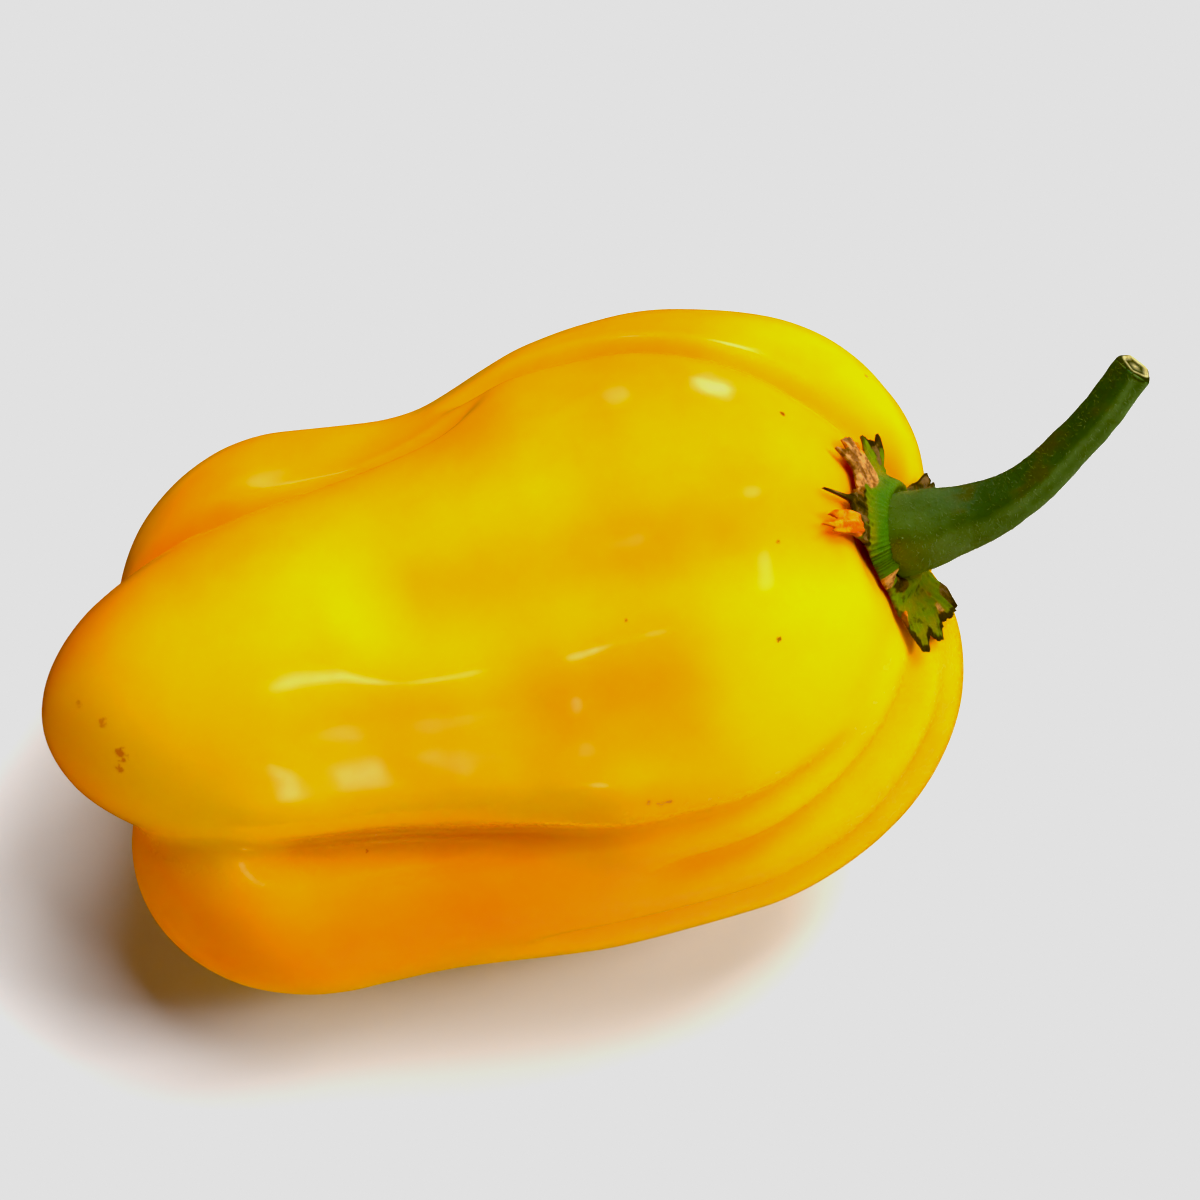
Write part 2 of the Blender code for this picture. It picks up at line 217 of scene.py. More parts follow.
# The stem's route from its foot, which it leaves square to the calyx's seat
STEM_STRAIGHT = 0.0026
STEM_ROUTE = (
    (0.0054, -0.0008, 0.0031),
    (0.0086, -0.0003, 0.0046),
    (0.0114, 0.0010, 0.0063),
    (0.0140, 0.0024, 0.0081),
    (0.0167, 0.0044, 0.0102),
)
STEM_FLARE_CURVE = 1.7
CUT_LEAN = (0.05, -0.12, 0.32)  # how far the cut end turns from square, towards the front and the top
STEM_SIDES = 64
STEM_RINGS = 170
STEM_RIDGES = 5
STEM_LUMPS = 3.0  # how uneven the ridges are

# The cut end, ring by ring: how far in and how far along, as shares of the stem's radius, and what it shows
CUT_RINGS = (
    (0.07, 0.12, "rim"), (0.09, 0.08, "rim"), (0.10, 0.04, "rim"), (0.07, -0.05, "cut"), (0.25, -0.04, "cut"),
)

# Where the stem is a brighter green: as painted light on the side that faces away from this direction, and as
# its own colour near its foot. Each has where it starts, where it is full, and how much; the side goes by how
# far it faces the direction.
PAINTED_LIGHT_AWAY_FROM = (-0.35, 0.75, 0.55)
PAINTED_LIGHT_SIDE = (0.15, -0.75, 0.85)
BRIGHT_FOOT = (0.0075, 0.0005, 0.7)

# The down on the stem: how far a hair leans, and its shortest and longest share of the full length
HAIR_LEAN = 0.7
HAIR_SHARES = (0.5, 1.2)

# The waves in the skin, then soft swells and hollows along the pod: angle at the spine's middle, half width,
# stretch and height
BROAD_WAVE = 0.0075
SMALL_WAVE = 0.0028
SWELLS = [(55, 0.0020, -0.026, 0.014, 0.00055), (37, 0.0022, -0.020, 0.016, -0.00028)]
SWELL_TURN = 420.0  # how far a swell turns round the pod for each metre along it
SWELL_FADE = 0.008

# Where the skin's colour is warmer: angle, half angle, how sharp the zone's sides are, where along the spine
# it starts and where it is full, and how much. The first zone is painted shade in the groove between the top
# and front lobes, the second painted shade on the top towards the shoulders, and the fourth painted shade on
# the back lobe.
WARM_AND_PAINTED_SHADE_ZONES = [
    (86, 23, 2, 0.020, -0.004, 0.80),
    (-22, 52, 4, 0.002, 0.022, 0.75),
    (100, 60, 4, 0.014, 0.027, 0.30),
    (315, 34, 4, 0.030, -0.010, 0.72),
]
WARM_ALL_OVER = 0.04
# Painted shade: the furrows are made more orange and darker by this much
FURROW_PAINTED_SHADE = 0.20
WARM_NOSE = (-0.023, -0.038, 1.1)  # where along the spine it starts, where it is full, and how much
# Painted shade on the skin round the stem's foot, where the calyx shades it
CALYX_PAINTED_SHADE = (0.0062, 0.3)  # how far from the stem's foot, and how much

# Low on the front lobe the skin is duller: angle, half angle and sharpness, and how it fades to the shoulders
LOW_SIDE = (118, 48, 6)
LOW_FADE = (0.004, 0.022, 0.75)

# Small marks on the skin: place along the spine, angle, radius, how strong and how red
MARKS = [
    (0.0216, 18, 0.00022, 0.9, 0.2), (0.0240, 340, 0.00030, 1.0, 0.0), (0.0199, 39, 0.00025, 0.9, 0.3),
    (0.0106, 24, 0.00018, 0.7, 0.4), (-0.0135, 70, 0.00020, 0.8, 0.5), (0.0295, 284, 0.00025, 0.9, 0.0),
    (0.0078, 63, 0.00036, 0.8, 1.0), (0.0084, 65, 0.00034, 0.8, 1.0), (0.0090, 65, 0.00036, 0.8, 1.0),
    (-0.0269, 22, 0.00055, 0.8, 1.0), (-0.0275, 26, 0.00040, 0.7, 1.0), (-0.0275, 12, 0.00045, 0.6, 1.0),
    (-0.0292, 4, 0.00035, 0.5, 1.0),
]
BLOTCH = (0.0083, 38, 0.0085)  # a soft orange patch: place along the spine, angle and radius

# Colours of the skin's marks, the calyx, the stem and the down; where there are two, the tissue has both
MARK_COLORS = {"red": (0.60, 0.08, 0.003), "stain": (0.20, 0.06, 0.005)}
CALYX_COLORS = {
    "streak": (0.030, 0.030, 0.005),
    "ridge": (0.022, 0.092, 0.012),
    "papery": ((0.14, 0.045, 0.010), (0.44, 0.19, 0.045)),
    "brown": ((0.022, 0.014, 0.006), (0.13, 0.065, 0.022)),
    "orange": ((0.55, 0.065, 0.004), (0.85, 0.20, 0.008)),
    "rim": (0.018, 0.010, 0.005),
}
STEM_COLORS = {
    "brown": (0.035, 0.024, 0.006),
    "streak": (0.012, 0.020, 0.003),
    "pith": ((0.30, 0.24, 0.07), (0.50, 0.42, 0.17)),
    "rim": (0.010, 0.010, 0.005),
}
DOWN_COLORS = ((0.07, 0.11, 0.03), (0.17, 0.22, 0.09))

# The large lamps: azimuth (0 in front, 90 on the right), elevation, width and height, share of the main
# light's power, and colour. The low one in front is warm, like light that has come off the pod.
WHITE = (1.0, 1.0, 1.0)
LAMP_DISTANCE = 0.50
LAMPS = {
    "key right": (116, 62, (0.20, 0.38), 1.0, WHITE),
    "key back": (162, 42, (0.16, 0.40), 0.55, WHITE),
    "fill right": (74, 36, (0.16, 0.20), 0.6, WHITE),
    "low front": (-35, 7, (0.50, 0.09), 0.32, (1.0, 0.80, 0.62)),
}

# The small lamps, which only show as glints in the gloss: azimuth, elevation, width and share of the power
GLINT_DISTANCE = 0.40
GLINT_COLOR = (1.0, 0.94, 0.60)
GLINTS = {
    "glint left": (-48, 50, 0.035, 0.8),
    "glint low": (-26, 9, 0.035, 0.55),
    "glint right": (86, 58, 0.06, 0.7),
    "glint back": (157, 7, 0.06, 1.2),
    "glint back left": (-172, 14, 0.06, 0.4),
}

TABLE_HALF = 0.45

# Tone: black starts at these levels of red, green and blue, and white ends at a light grey
BLACK_STARTS = (0.0, 0.005, 0.03)
WHITE_END = 0.753

# The camera, as the photograph was taken
CAMERA_AZIMUTH = -11.5
CAMERA_ELEVATION = 65.0
VIEW_ANGLE = 20.0
PICTURE = 1200  # pixels
PIXEL = 0.0716 / 1000  # size of one pixel of the photograph at the pod
FOOT_PIXEL = (865.2, 532.0)  # where the photograph shows the spine's point at FOOT_SPINE_X
FOOT_SPINE_X = 0.0262


# Sums that the pieces share


def ease(low, high, x):
    """0 below low and 1 above high, smooth between."""
    t = np.clip((x - low) / (high - low), 0.0, 1.0)
    return t * t * (3.0 - 2.0 * t)


def between(pair, share):
    return pair[0] + (pair[1] - pair[0]) * share


def swept_radius(lobe, x, toward_shoulder):
    """The radius of a lobe or of the core at x: full along its middle, and rounded off at both ends."""
    reach, cap = lobe["reach"], lobe["cap"]
    at_blossom = np.clip(((reach[0] + cap[0]) - x) / cap[0], 0.0, 1.0)
    at_stem = np.clip((x - (reach[1] - cap[1])) / cap[1], 0.0, 1.0)
    past = np.maximum(x - reach[1], 0.0) + np.maximum(reach[0] - x, 0.0)
    narrowing = lobe["waist"] * np.exp(-(((x - WAIST_X) / WAIST_LENGTH) ** 2))
    full = between(lobe["radius"], toward_shoulder) - narrowing
    return full * np.sqrt((1.0 - at_blossom**2) * (1.0 - at_stem**2)) - past


def spine_height(x):
    return 0.5 * SPINE_BEND * x * x


def stem_line():
    """The point on the spine and the direction of the line on which the stem stands."""
    start = np.array([FOOT_START_X, 0.0, spine_height(FOOT_START_X)])
    axis = np.array([1.0, -math.tan(math.radians(FOOT_FRONT)), math.tan(math.radians(FOOT_UP))])
    return start, axis / np.linalg.norm(axis)


def seat_middle():
    """Where the stem's line starts on the spine, where it leaves the skin, and its direction."""
    start, axis = stem_line()
    return start, skin_along(start, axis, False), axis


def furrow_depth(x, turn, girth):
    """How deep the furrows are at x, at an angle round the spine in radians, at a distance from the spine."""
    depth = np.zeros_like(x)
    for furrow in FURROWS:
        low, high = furrow["along"]
        middle = np.radians(between(furrow["angle"], np.clip((x - low) / (high - low), 0.0, 1.0)))
        across = girth * np.arctan2(np.sin(turn - middle), np.cos(turn - middle))
        strength = ease(low, low + FURROW_FADE, x) * (1.0 - ease(high - FURROW_FADE, high, x))
        depth += furrow["depth"] * strength * np.exp(-((across / furrow["half_width"]) ** 2))
    return depth * ease(*FURROW_GIRTH, girth)


def pull(depth, melt):
    """How much a round counts where the rounds melt together; the limits keep the numbers finite."""
    return np.exp(np.clip(depth / melt, -60.0, 60.0))


def height_over_skin(points, furrowed=True):
    """How far each point is outside the skin, in metres; negative inside."""
    x, y, z = points[..., 0], points[..., 1], points[..., 2] - spine_height(points[..., 0])
    toward_shoulder = ease(BLOSSOM_X, SHOULDER_X, x)
    melt = between(MELT, toward_shoulder)
    girth = np.hypot(y, z)
    total = pull(swept_radius(CORE, x, toward_shoulder) - girth, melt)
    for lobe in LOBES.values():
        angle = np.radians(between(lobe["angle"], toward_shoulder))
        offset = between(lobe["offset"], toward_shoulder)
        outside = np.hypot(y + offset * np.sin(angle), z - offset * np.cos(angle))
        total += pull(swept_radius(lobe, x, toward_shoulder) - outside, melt)
    outside = -melt * np.log(total + 1e-30)
    start, axis = stem_line()
    off_stem = np.linalg.norm(np.cross(points - start, axis), axis=-1)
    level = ease(*FLOOR_ZONE, x) * np.exp(-((off_stem / FLOOR_RADIUS) ** 4))
    outside = between((outside, (points - start) @ axis - FLOOR_DEPTH), level)
    if furrowed:
        outside += furrow_depth(x, np.arctan2(-y, z), girth) * ease(*FURROW_FREE, off_stem)
    return outside


def skin_along(start, ray, furrowed=True):
    """Where rays from inside the pod meet its skin."""
    near, far = np.zeros(ray.shape[:-1]), np.full(ray.shape[:-1], RAY_LENGTH)
    for _ in range(HALVINGS):
        middle = 0.5 * (near + far)
        inside = height_over_skin(start + ray * middle[..., None], furrowed) < 0.0
        near, far = np.where(inside, middle, near), np.where(inside, far, middle)
    return start + ray * near[..., None]


def rays(swing, turn, axis=(1.0, 0.0, 0.0)):
    """Directions at angles swing from the axis and turn round it, in the pod's frame, with 0 at the top."""
    axis = np.array(axis) / np.linalg.norm(axis)
    up = np.array([-axis[2], 0.0, axis[0]]) / np.hypot(axis[0], axis[2])
    front = np.cross(axis, up)
    swing, turn = np.asarray(swing)[..., None], np.asarray(turn)[..., None]
    return np.cos(swing) * axis + np.sin(swing) * (np.cos(turn) * up + np.sin(turn) * front)


def outward(points, furrowed=False):
    """The direction straight out of the skin."""
    step = 0.0001
    ahead = [height_over_skin(points + step * side, furrowed) for side in np.eye(3)]
    behind = [height_over_skin(points - step * side, furrowed) for side in np.eye(3)]
    slope = np.stack(ahead, axis=-1) - np.stack(behind, axis=-1)
    return slope / np.linalg.norm(slope, axis=-1, keepdims=True)


def skin_points(rows, spokes):
    """A grid of points on the skin, by rays from the spine, from the stem end to the blossom end."""
    share = np.linspace(0.0, 1.0, rows)
    swing = math.pi * (share + ROWS_TO_MIDDLE * np.sin(2 * math.pi * share))
    start_x = between(RAY_STARTS, ease(*RAY_STARTS_CHANGE, share))
    turn = np.linspace(0.0, 2 * math.pi, spokes, endpoint=False)
    start = np.stack([start_x, np.zeros(rows), spine_height(start_x)], axis=-1)[:, None, :]
    return skin_along(start, rays(swing[:, None], turn[None, :]))


def turned(points):
    """Pod frame to the lying pose: leaned over, then tilted with the stem end up."""
    lean, tilt = math.radians(LEAN), math.radians(TILT)
    x, y, z = points[..., 0], points[..., 1], points[..., 2]
    y, z = y * math.cos(lean) + z * math.sin(lean), z * math.cos(lean) - y * math.sin(lean)
    x, z = x * math.cos(tilt) - z * math.sin(tilt), x * math.sin(tilt) + z * math.cos(tilt)
    return np.stack([x, y, z], axis=-1)


def find_shift():
    """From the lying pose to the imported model: the pods' middles in plan agree, and so do their tops."""
    own = turned(skin_points(rows=90, spokes=160)).reshape(-1, 3)
    low, high = (np.array(corner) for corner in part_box("pod"))
    middle = 0.5 * (low + high) - 0.5 * (own.min(axis=0) + own.max(axis=0))
    return np.array([middle[0], middle[1], high[2] - own[:, 2].max()])


SHIFT = find_shift()


def laid_down(points):
    return turned(points) + SHIFT


def on_skin(x, angle):
    """The place on the lying pod at x along its spine and an angle round it."""
    start = np.array([x, 0.0, spine_height(x)])
    turn = math.radians(angle)
    ray = np.array([0.0, -math.sin(turn), math.cos(turn)])
    return laid_down(skin_along(start[None], ray[None])[0])


def rough(points, size, seed):
    """Smooth random heights between about -1 and 1 at points, with bumps of a size in metres."""
    offset = Vector((seed * 7.3, seed * 3.1, seed * 1.7))
    flat = points.reshape(-1, 3) / size
    heights = np.array([noise.noise(Vector(p) + offset) for p in flat])
    return heights.reshape(points.shape[:-1])


def angle_apart(turn, degrees):
    """Degrees between angles in radians and one in degrees."""
    off = turn - np.radians(degrees)
    return np.degrees(np.arctan2(np.sin(off), np.cos(off)))


def hump(turn, middle, half_angle, power=4):
    """1 at a middle angle and 0 well beyond a half angle; the higher the power, the sharper its sides."""
    return np.exp(-((angle_apart(turn, middle) / half_angle) ** power))


def humps(turn, entries):
    """The highest of several humps: middle, half angle and height of each."""
    return np.max([height * hump(turn, middle, half_angle) for middle, half_angle, height in entries], axis=0)


def closed_mesh(name, points, attributes):
    """A mesh over a grid of points, whose first and last row each meet in one point, with its attributes."""
    rows, spokes = points.shape[:2]
    inner = points[1:-1].reshape(-1, 3)
    places = np.concatenate([inner, points[:1, 0], points[-1:, 0]])
    index = np.arange(len(inner)).reshape(rows - 2, spokes)
    across = np.roll(index, -1, axis=1)
    quads = np.stack([index[:-1], across[:-1], across[1:], index[1:]], axis=-1).reshape(-1, 4)
    first, last = len(inner), len(inner) + 1
    faces = quads.tolist()
    faces += [(int(across[0, k]), int(index[0, k]), first) for k in range(spokes)]
    faces += [(int(index[-1, k]), int(across[-1, k]), last) for k in range(spokes)]
    mesh = bpy.data.meshes.new(name)
    mesh.from_pydata(places.tolist(), [], faces)
    for label, values in attributes:
        layer = mesh.attributes.new(label, "FLOAT", "POINT")
        flat = np.concatenate([values[1:-1].ravel(), values[:1, 0], values[-1:, 0]])
        layer.data.foreach_set("value", flat.astype(np.float32))
    outward_faces(mesh)
    mesh.shade_smooth()
    return mesh


def outward_faces(mesh):
    shape = bmesh.new()
    shape.from_mesh(mesh)
    bmesh.ops.recalc_face_normals(shape, faces=shape.faces)
    shape.to_mesh(mesh)
    shape.free()


def place(name, mesh, material, node, slot):
    """Adds a finished piece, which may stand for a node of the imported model."""
    mesh.materials.clear()
    mesh.materials.append(material)
    piece = bpy.data.objects.new(name, mesh)
    bpy.context.scene.collection.objects.link(piece)
    if node:
        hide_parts(node)
    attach(piece, "root")


# Nodes and materials


class Nodes:
    """Adds nodes to a tree, and joins them."""

    def __init__(self, tree):
        self.tree = tree

    def feed(self, socket, value):
        """Joins a socket to another one, or gives it a value; a colour is red, green and blue."""
        if isinstance(value, bpy.types.NodeSocket):
            self.tree.links.new(value, socket)
        elif socket.type == "RGBA":
            socket.default_value = (*value, 1.0)
        else:
            socket.default_value = value

    def node(self, kind, settings=(), **inputs):
        made = self.tree.nodes.new(kind)
        for key, value in dict(settings).items():
            setattr(made, key, value)
        for key, value in inputs.items():
            self.feed(made.inputs[key.replace("_", " ")], value)
        return made

    def math(self, operation, *values, clamp=False):
        made = self.node("ShaderNodeMath", {"operation": operation, "use_clamp": clamp})
        for socket, value in zip(made.inputs, values):
            self.feed(socket, value)
        return made.outputs[0]


class Recipe(Nodes):
    """The steps from which the materials are made."""

    def blend(self, share, first, second):
        """A colour from first to second."""
        made = self.node("ShaderNodeMix", {"data_type": "RGBA"})
        for number, value in ((0, share), (6, first), (7, second)):
            self.feed(made.inputs[number], value)
        return made.outputs[2]

    def span(self, value, low, high, to_low=0.0, to_high=1.0):
        """A smooth step from to_low to to_high, as the value goes from low to high."""
        made = self.node(
            "ShaderNodeMapRange", {"interpolation_type": "SMOOTHSTEP"},
            Value=value, From_Min=low, From_Max=high, To_Min=to_low, To_Max=to_high,
        )
        return made.outputs[0]

    def shaken(self, value, cloud, spread, clamp=False):
        """A value made uneven by a cloudy one."""
        change = self.math("MULTIPLY", self.math("SUBTRACT", cloud, 0.5), spread)
        return self.math("ADD", value, change, clamp=clamp)

    def largest(self, values):
        top = values[0]
        for value in values[1:]:
            top = self.math("MAXIMUM", top, value)
        return top

    def distance(self, first, second):
        made = self.node("ShaderNodeVectorMath", {"operation": "DISTANCE"})
        self.feed(made.inputs[0], first)
        self.feed(made.inputs[1], second)
        return made.outputs["Value"]

    def texture(self, place, scale, detail, roughness):
        made = self.node("ShaderNodeTexNoise", Vector=place, Scale=scale, Detail=detail, Roughness=roughness)
        return made.outputs["Fac"]

    def own(self, label):
        """The piece's own attribute of that name."""
        return self.node("ShaderNodeAttribute", {"attribute_name": label}).outputs["Fac"]

    def mottle(self, cloud_size, grain_size):
        """The place on the piece, and the cloud and the grain of the shared mottle there."""
        here = self.node("ShaderNodeTexCoord").outputs["Object"]
        made = self.node(
            "ShaderNodeGroup", {"node_tree": mottle_group()},
            Place=here, Cloud_Size=cloud_size, Grain_Size=grain_size,
        )
        return here, made.outputs["Cloud"], made.outputs["Grain"]

    def surface(self, shader, color, roughness, height, strength, distance):
        """Feeds a shader's colour, roughness and bump."""
        self.feed(shader.inputs["Base Color"], color)
        self.feed(shader.inputs["Roughness"], roughness)
        bump = self.node("ShaderNodeBump", Strength=strength, Distance=distance, Height=height)
        self.feed(shader.inputs["Normal"], bump.outputs["Normal"])


def shared_group(name, inputs, outputs, fill):
    """A shader group, made when it is first asked for. An input has a name, a kind and a default."""
    group = bpy.data.node_groups.get(name)
    if group is None:
        group = bpy.data.node_groups.new(name, "ShaderNodeTree")
        for label, kind, default in inputs:
            made = group.interface.new_socket(label, in_out="INPUT", socket_type=kind)
            if default is not None:
                made.default_value = default
        for label in outputs:
            group.interface.new_socket(label, in_out="OUTPUT", socket_type="NodeSocketFloat")
        given = group.nodes.new("NodeGroupInput").outputs
        result = group.nodes.new("NodeGroupOutput").inputs
        fill(Recipe(group), given, result)
    return group


def mottle_group():
    """Soft cloudy variation and a fine grain, both from a place on the piece."""
    inputs = [
        ("Place", "NodeSocketVector", None),
        ("Cloud Size", "NodeSocketFloat", 0.006),
        ("Grain Size", "NodeSocketFloat", 0.0006),
    ]

    def fill(r, given, result):
        for label, detail in (("Cloud", 3.0), ("Grain", 2.0)):
            scale = r.math("DIVIDE", 1.0, given[label + " Size"])
            r.feed(result[label], r.texture(given["Place"], scale, detail, 0.55))

    return shared_group("mottle", inputs, ["Cloud", "Grain"], fill)


def mark_group():
    """A mask for one small mark: 1 at its middle and 0 outside, with a ragged edge."""
    inputs = [
        ("Place", "NodeSocketVector", None),
        ("Middle", "NodeSocketVector", None),
        ("Radius", "NodeSocketFloat", 0.0003),
        ("Strength", "NodeSocketFloat", 1.0),
        ("Ragged", "NodeSocketFloat", 1.2),
    ]

    def fill(r, given, result):
        away = r.math("DIVIDE", r.distance(given["Place"], given["Middle"]), given["Radius"])
        edge = r.texture(given["Place"], r.math("DIVIDE", 1.3, given["Radius"]), 3.0, 0.6)
        mask = r.span(r.shaken(away, edge, given["Ragged"]), 1.0, 0.35)
        r.feed(result["Mask"], r.math("MULTIPLY", mask, given["Strength"]))

    return shared_group("mark", inputs, ["Mask"], fill)


def new_material(name):
    material = bpy.data.materials.new(name)
    material.use_nodes = True
    return material, Recipe(material.node_tree), material.node_tree.nodes["Principled BSDF"]


def let_light_in(shader, weight, radius, scale):
    """Lets light spread under the surface, as it does in fresh plant tissue."""
    shader.inputs["Subsurface Weight"].default_value = weight
    shader.inputs["Subsurface Radius"].default_value = radius
    shader.inputs["Subsurface Scale"].default_value = scale


def skin_marks(r, here):
    """The masks of the red marks and of the brown stains."""
    masks = {"red": [], "stain": []}
    for x, angle, radius, strength, redness in MARKS:
        made = r.node(
            "ShaderNodeGroup", {"node_tree": mark_group()}, Place=here, Middle=on_skin(x, angle).tolist(),
            Radius=radius, Strength=strength, Ragged=1.4 + 1.6 * redness,
        )
        masks["stain" if redness < 0.5 else "red"].append(made.outputs["Mask"])
    return {kind: r.largest(found) for kind, found in masks.items()}


def skin_material(sizes):
    """Glossy waxy skin: golden yellow, more orange where the mesh marks it so, which is partly its own colour
    and partly painted shade, with small marks.
    """
    material, r, shader = new_material("ripe skin")
    here, cloud, grain = r.mottle(0.009, 0.0009)
    x, angle, radius = BLOTCH
    blotch = r.span(r.distance(here, on_skin(x, angle).tolist()), radius, 0.0, 0.0, 0.44)
    # The mesh's attribute turns the skin more orange and darker: painted shade in the folds, the furrows,
    # round the calyx, on the back lobe and on the top of the shoulders, and the skin's own colour at the nose
    clouded = r.math("ADD", r.own("warmth_and_painted_shade"), r.span(cloud, 0.3, 0.75, -0.09, 0.10))
    warm = r.math("ADD", clouded, blotch, clamp=True)
    color = r.blend(warm, sizes.ripe_color, sizes.warm_and_shade_color)
    marks = skin_marks(r, here)
    for kind, mask in marks.items():
        color = r.blend(mask, color, MARK_COLORS[kind])
    marked = r.largest(list(marks.values()))
    low = r.own("low")
    dull = r.math("ADD", r.math("MULTIPLY", marked, 0.3), r.math("MULTIPLY", low, 0.22))
    grained = r.span(grain, 0.2, 0.8, sizes.gloss - 0.03, sizes.gloss + 0.05)
    waves = r.math("MULTIPLY", r.texture(here, 260.0, 2.0, 0.4), 0.8)
    height = r.math("ADD", waves, r.math("MULTIPLY", grain, 0.03))
    height = r.math("SUBTRACT", height, r.math("MULTIPLY", marked, 0.25))
    r.surface(shader, color, r.math("ADD", grained, dull), height, 0.35, 0.00012)
    let_light_in(shader, 0.4, (1.0, 0.4, 0.04), 0.0035)
    shader.inputs["IOR"].default_value = 1.46
    r.feed(shader.inputs["Coat Weight"], r.span(low, 0.0, 0.6, 0.25, 0.0))
    shader.inputs["Coat Roughness"].default_value = 0.12
    return material


def calyx_material(sizes):
    """Green where it is fresh, papery or brown where it has dried, orange towards the tips of some lobes, and
    dark along the torn edge.
    """
    material, r, shader = new_material("dried calyx")
    here, cloud, grain = r.mottle(0.0013, 0.00022)
    streak = r.texture(here, 1100.0, 4.0, 0.65)

    def worn(label, spread, low=0.42, high=0.62):
        """A tint's mask, with its edges broken up by the cloudy variation."""
        return r.span(r.shaken(r.own(label), cloud, spread), low, high)

    color = r.blend(r.span(cloud, 0.36, 0.64), sizes.green, sizes.dull_green)
    color = r.blend(r.span(streak, 0.55, 0.68, 0.0, 0.8), color, CALYX_COLORS["streak"])
    color = r.blend(r.math("MULTIPLY", r.own("ridge"), 0.85), color, CALYX_COLORS["ridge"])
    dryness = worn("papery", 0.9)
    masks = {"brown": worn("brown", 1.0), "papery": dryness, "orange": worn("orange", 0.8)}
    for label, mask in masks.items():
        start = 0.42 if label == "brown" else 0.40
        color = r.blend(mask, color, r.blend(r.span(streak, start, start + 0.2), *CALYX_COLORS[label]))
    rim = r.math("MULTIPLY", worn("rim", 1.4, 0.35, 0.6), r.own("edge"))
    color = r.blend(r.math("MULTIPLY", rim, 0.95), color, CALYX_COLORS["rim"])
    roughness = r.math("ADD", r.math("MULTIPLY", dryness, 0.15), r.span(grain, 0.3, 0.7, 0.5, 0.68))
    veins = r.texture(here, 1400.0, 3.0, 0.6)
    height = r.math("ADD", veins, r.math("MULTIPLY", cloud, 1.5))
    r.surface(shader, color, roughness, height, 0.7, 0.00022)
    let_light_in(shader, 0.1, (0.6, 0.7, 0.1), 0.0005)
    return material


def stem_material(sizes):
    """Dark green, brighter low down as painted light and at the foot as its own colour, with brownish clouds
    and a pale pithy cut end.
    """
    material, r, shader = new_material("green stem")
    here, cloud, grain = r.mottle(0.0028, 0.00035)
    stretched = r.node("ShaderNodeMapping", Vector=here, Scale=(0.35, 0.7, 0.7)).outputs[0]
    streaks = r.texture(stretched, 1500.0, 3.0, 0.6)
    # Painted light: the stem's lower side takes the brighter green; at the foot it is the stem's own colour
    green_foot_and_painted_light = r.own("green_foot_and_painted_light")
    color = r.blend(r.shaken(green_foot_and_painted_light, cloud, 0.9, clamp=True), sizes.dark_green, sizes.foot_and_painted_light_green)
    brown = r.math("MULTIPLY", r.span(cloud, 0.52, 0.68), r.span(green_foot_and_painted_light, 0.6, 0.1))
    color = r.blend(r.math("MULTIPLY", brown, 0.6), color, STEM_COLORS["brown"])
    color = r.blend(r.span(streaks, 0.56, 0.75, 0.0, 0.35), color, STEM_COLORS["streak"])
    pith = r.blend(r.span(grain, 0.35, 0.65), *STEM_COLORS["pith"])
    color = r.blend(r.own("cut"), color, pith)
    color = r.blend(r.math("MULTIPLY", r.own("rim"), 0.85), color, STEM_COLORS["rim"])
    height = r.math("ADD", r.math("MULTIPLY", streaks, 0.7), r.math("MULTIPLY", grain, 0.6))
    r.surface(shader, color, r.span(grain, 0.3, 0.7, 0.42, 0.58), height, 0.6, 0.00010)
    let_light_in(shader, 0.08, (0.5, 0.8, 0.1), 0.0006)
    return material


def down_material():
    """Fine pale hairs."""
    material, r, shader = new_material("pale down")
    _, cloud, _ = r.mottle(0.002, 0.0003)
    r.feed(shader.inputs["Base Color"], r.blend(cloud, *DOWN_COLORS))
    shader.inputs["Roughness"].default_value = 0.5
    return material


def table_material(sizes):
    """A pale matt sheet with a barely visible tooth."""
    material, r, shader = new_material("pale table")
    _, cloud, grain = r.mottle(0.08, 0.0012)
    shaded = [part * 0.97 for part in sizes.table_color]
    r.surface(shader, r.blend(cloud, shaded, sizes.table_color), 0.8, grain, 0.1, 0.0001)
    shader.inputs["Specular IOR Level"].default_value = 0.2
    return material


# Settings


def color_property(label, description, default):
    return bpy.props.FloatVectorProperty(
        name=label, description=description, default=default, subtype="COLOR", size=3, min=0.0, max=1.0
    )


def length_property(label, description, default):
    return bpy.props.FloatProperty(
        name=label, description=description, default=default, unit="LENGTH", subtype="DISTANCE",
        precision=5, min=0.0,
    )


def power_property(label, description, default):
    return bpy.props.FloatProperty(name=label, description=description, default=default, unit="POWER")


def count_property(label, description, default, least):
    return bpy.props.IntProperty(name=label, description=description, default=default, min=least)


class PodSettings(bpy.types.PropertyGroup):
    """The pod's mesh, its waves and its colours."""

    ripe_color: color_property("Ripe color", "Skin on the top of the pod", (0.93, 0.50, 0.002))
    # The second colour is the skin's own at the nose, and painted shade in the folds, the furrows and round
    # the calyx
    warm_and_shade_color: color_property("Warm color", "Skin in the folds and at both ends", (0.93, 0.22, 0.002))
    gloss: bpy.props.FloatProperty(
        name="Roughness", description="Roughness of the waxy skin", default=0.2, subtype="FACTOR",
        min=0.05, max=1.0,
    )
    broad_waves: length_property("Broad waves", "Height of the broad waves in the skin", 0.00018)
    small_waves: length_property("Small waves", "Height of the small waves in the skin", 0.00003)
    rows: count_property("Rows", "Rows of points along the pod", 250, 60)
    spokes: count_property("Spokes", "Points round the pod", 380, 80)


class CalyxSettings(bpy.types.PropertyGroup):
    """The calyx's thickness and colours."""

    green: color_property("Fresh green", "Ring and fresh tissue", (0.090, 0.135, 0.005))
    dull_green: color_property("Dull green", "Older tissue between the veins", (0.150, 0.125, 0.008))
    thickness: length_property("Thickness", "Thickness of the cap next to the ring", 0.0006)
    edge_thickness: length_property("Edge thickness", "Thickness of the torn edge", 0.00016)
    spokes: count_property("Spokes", "Points round the calyx", 900, 120)


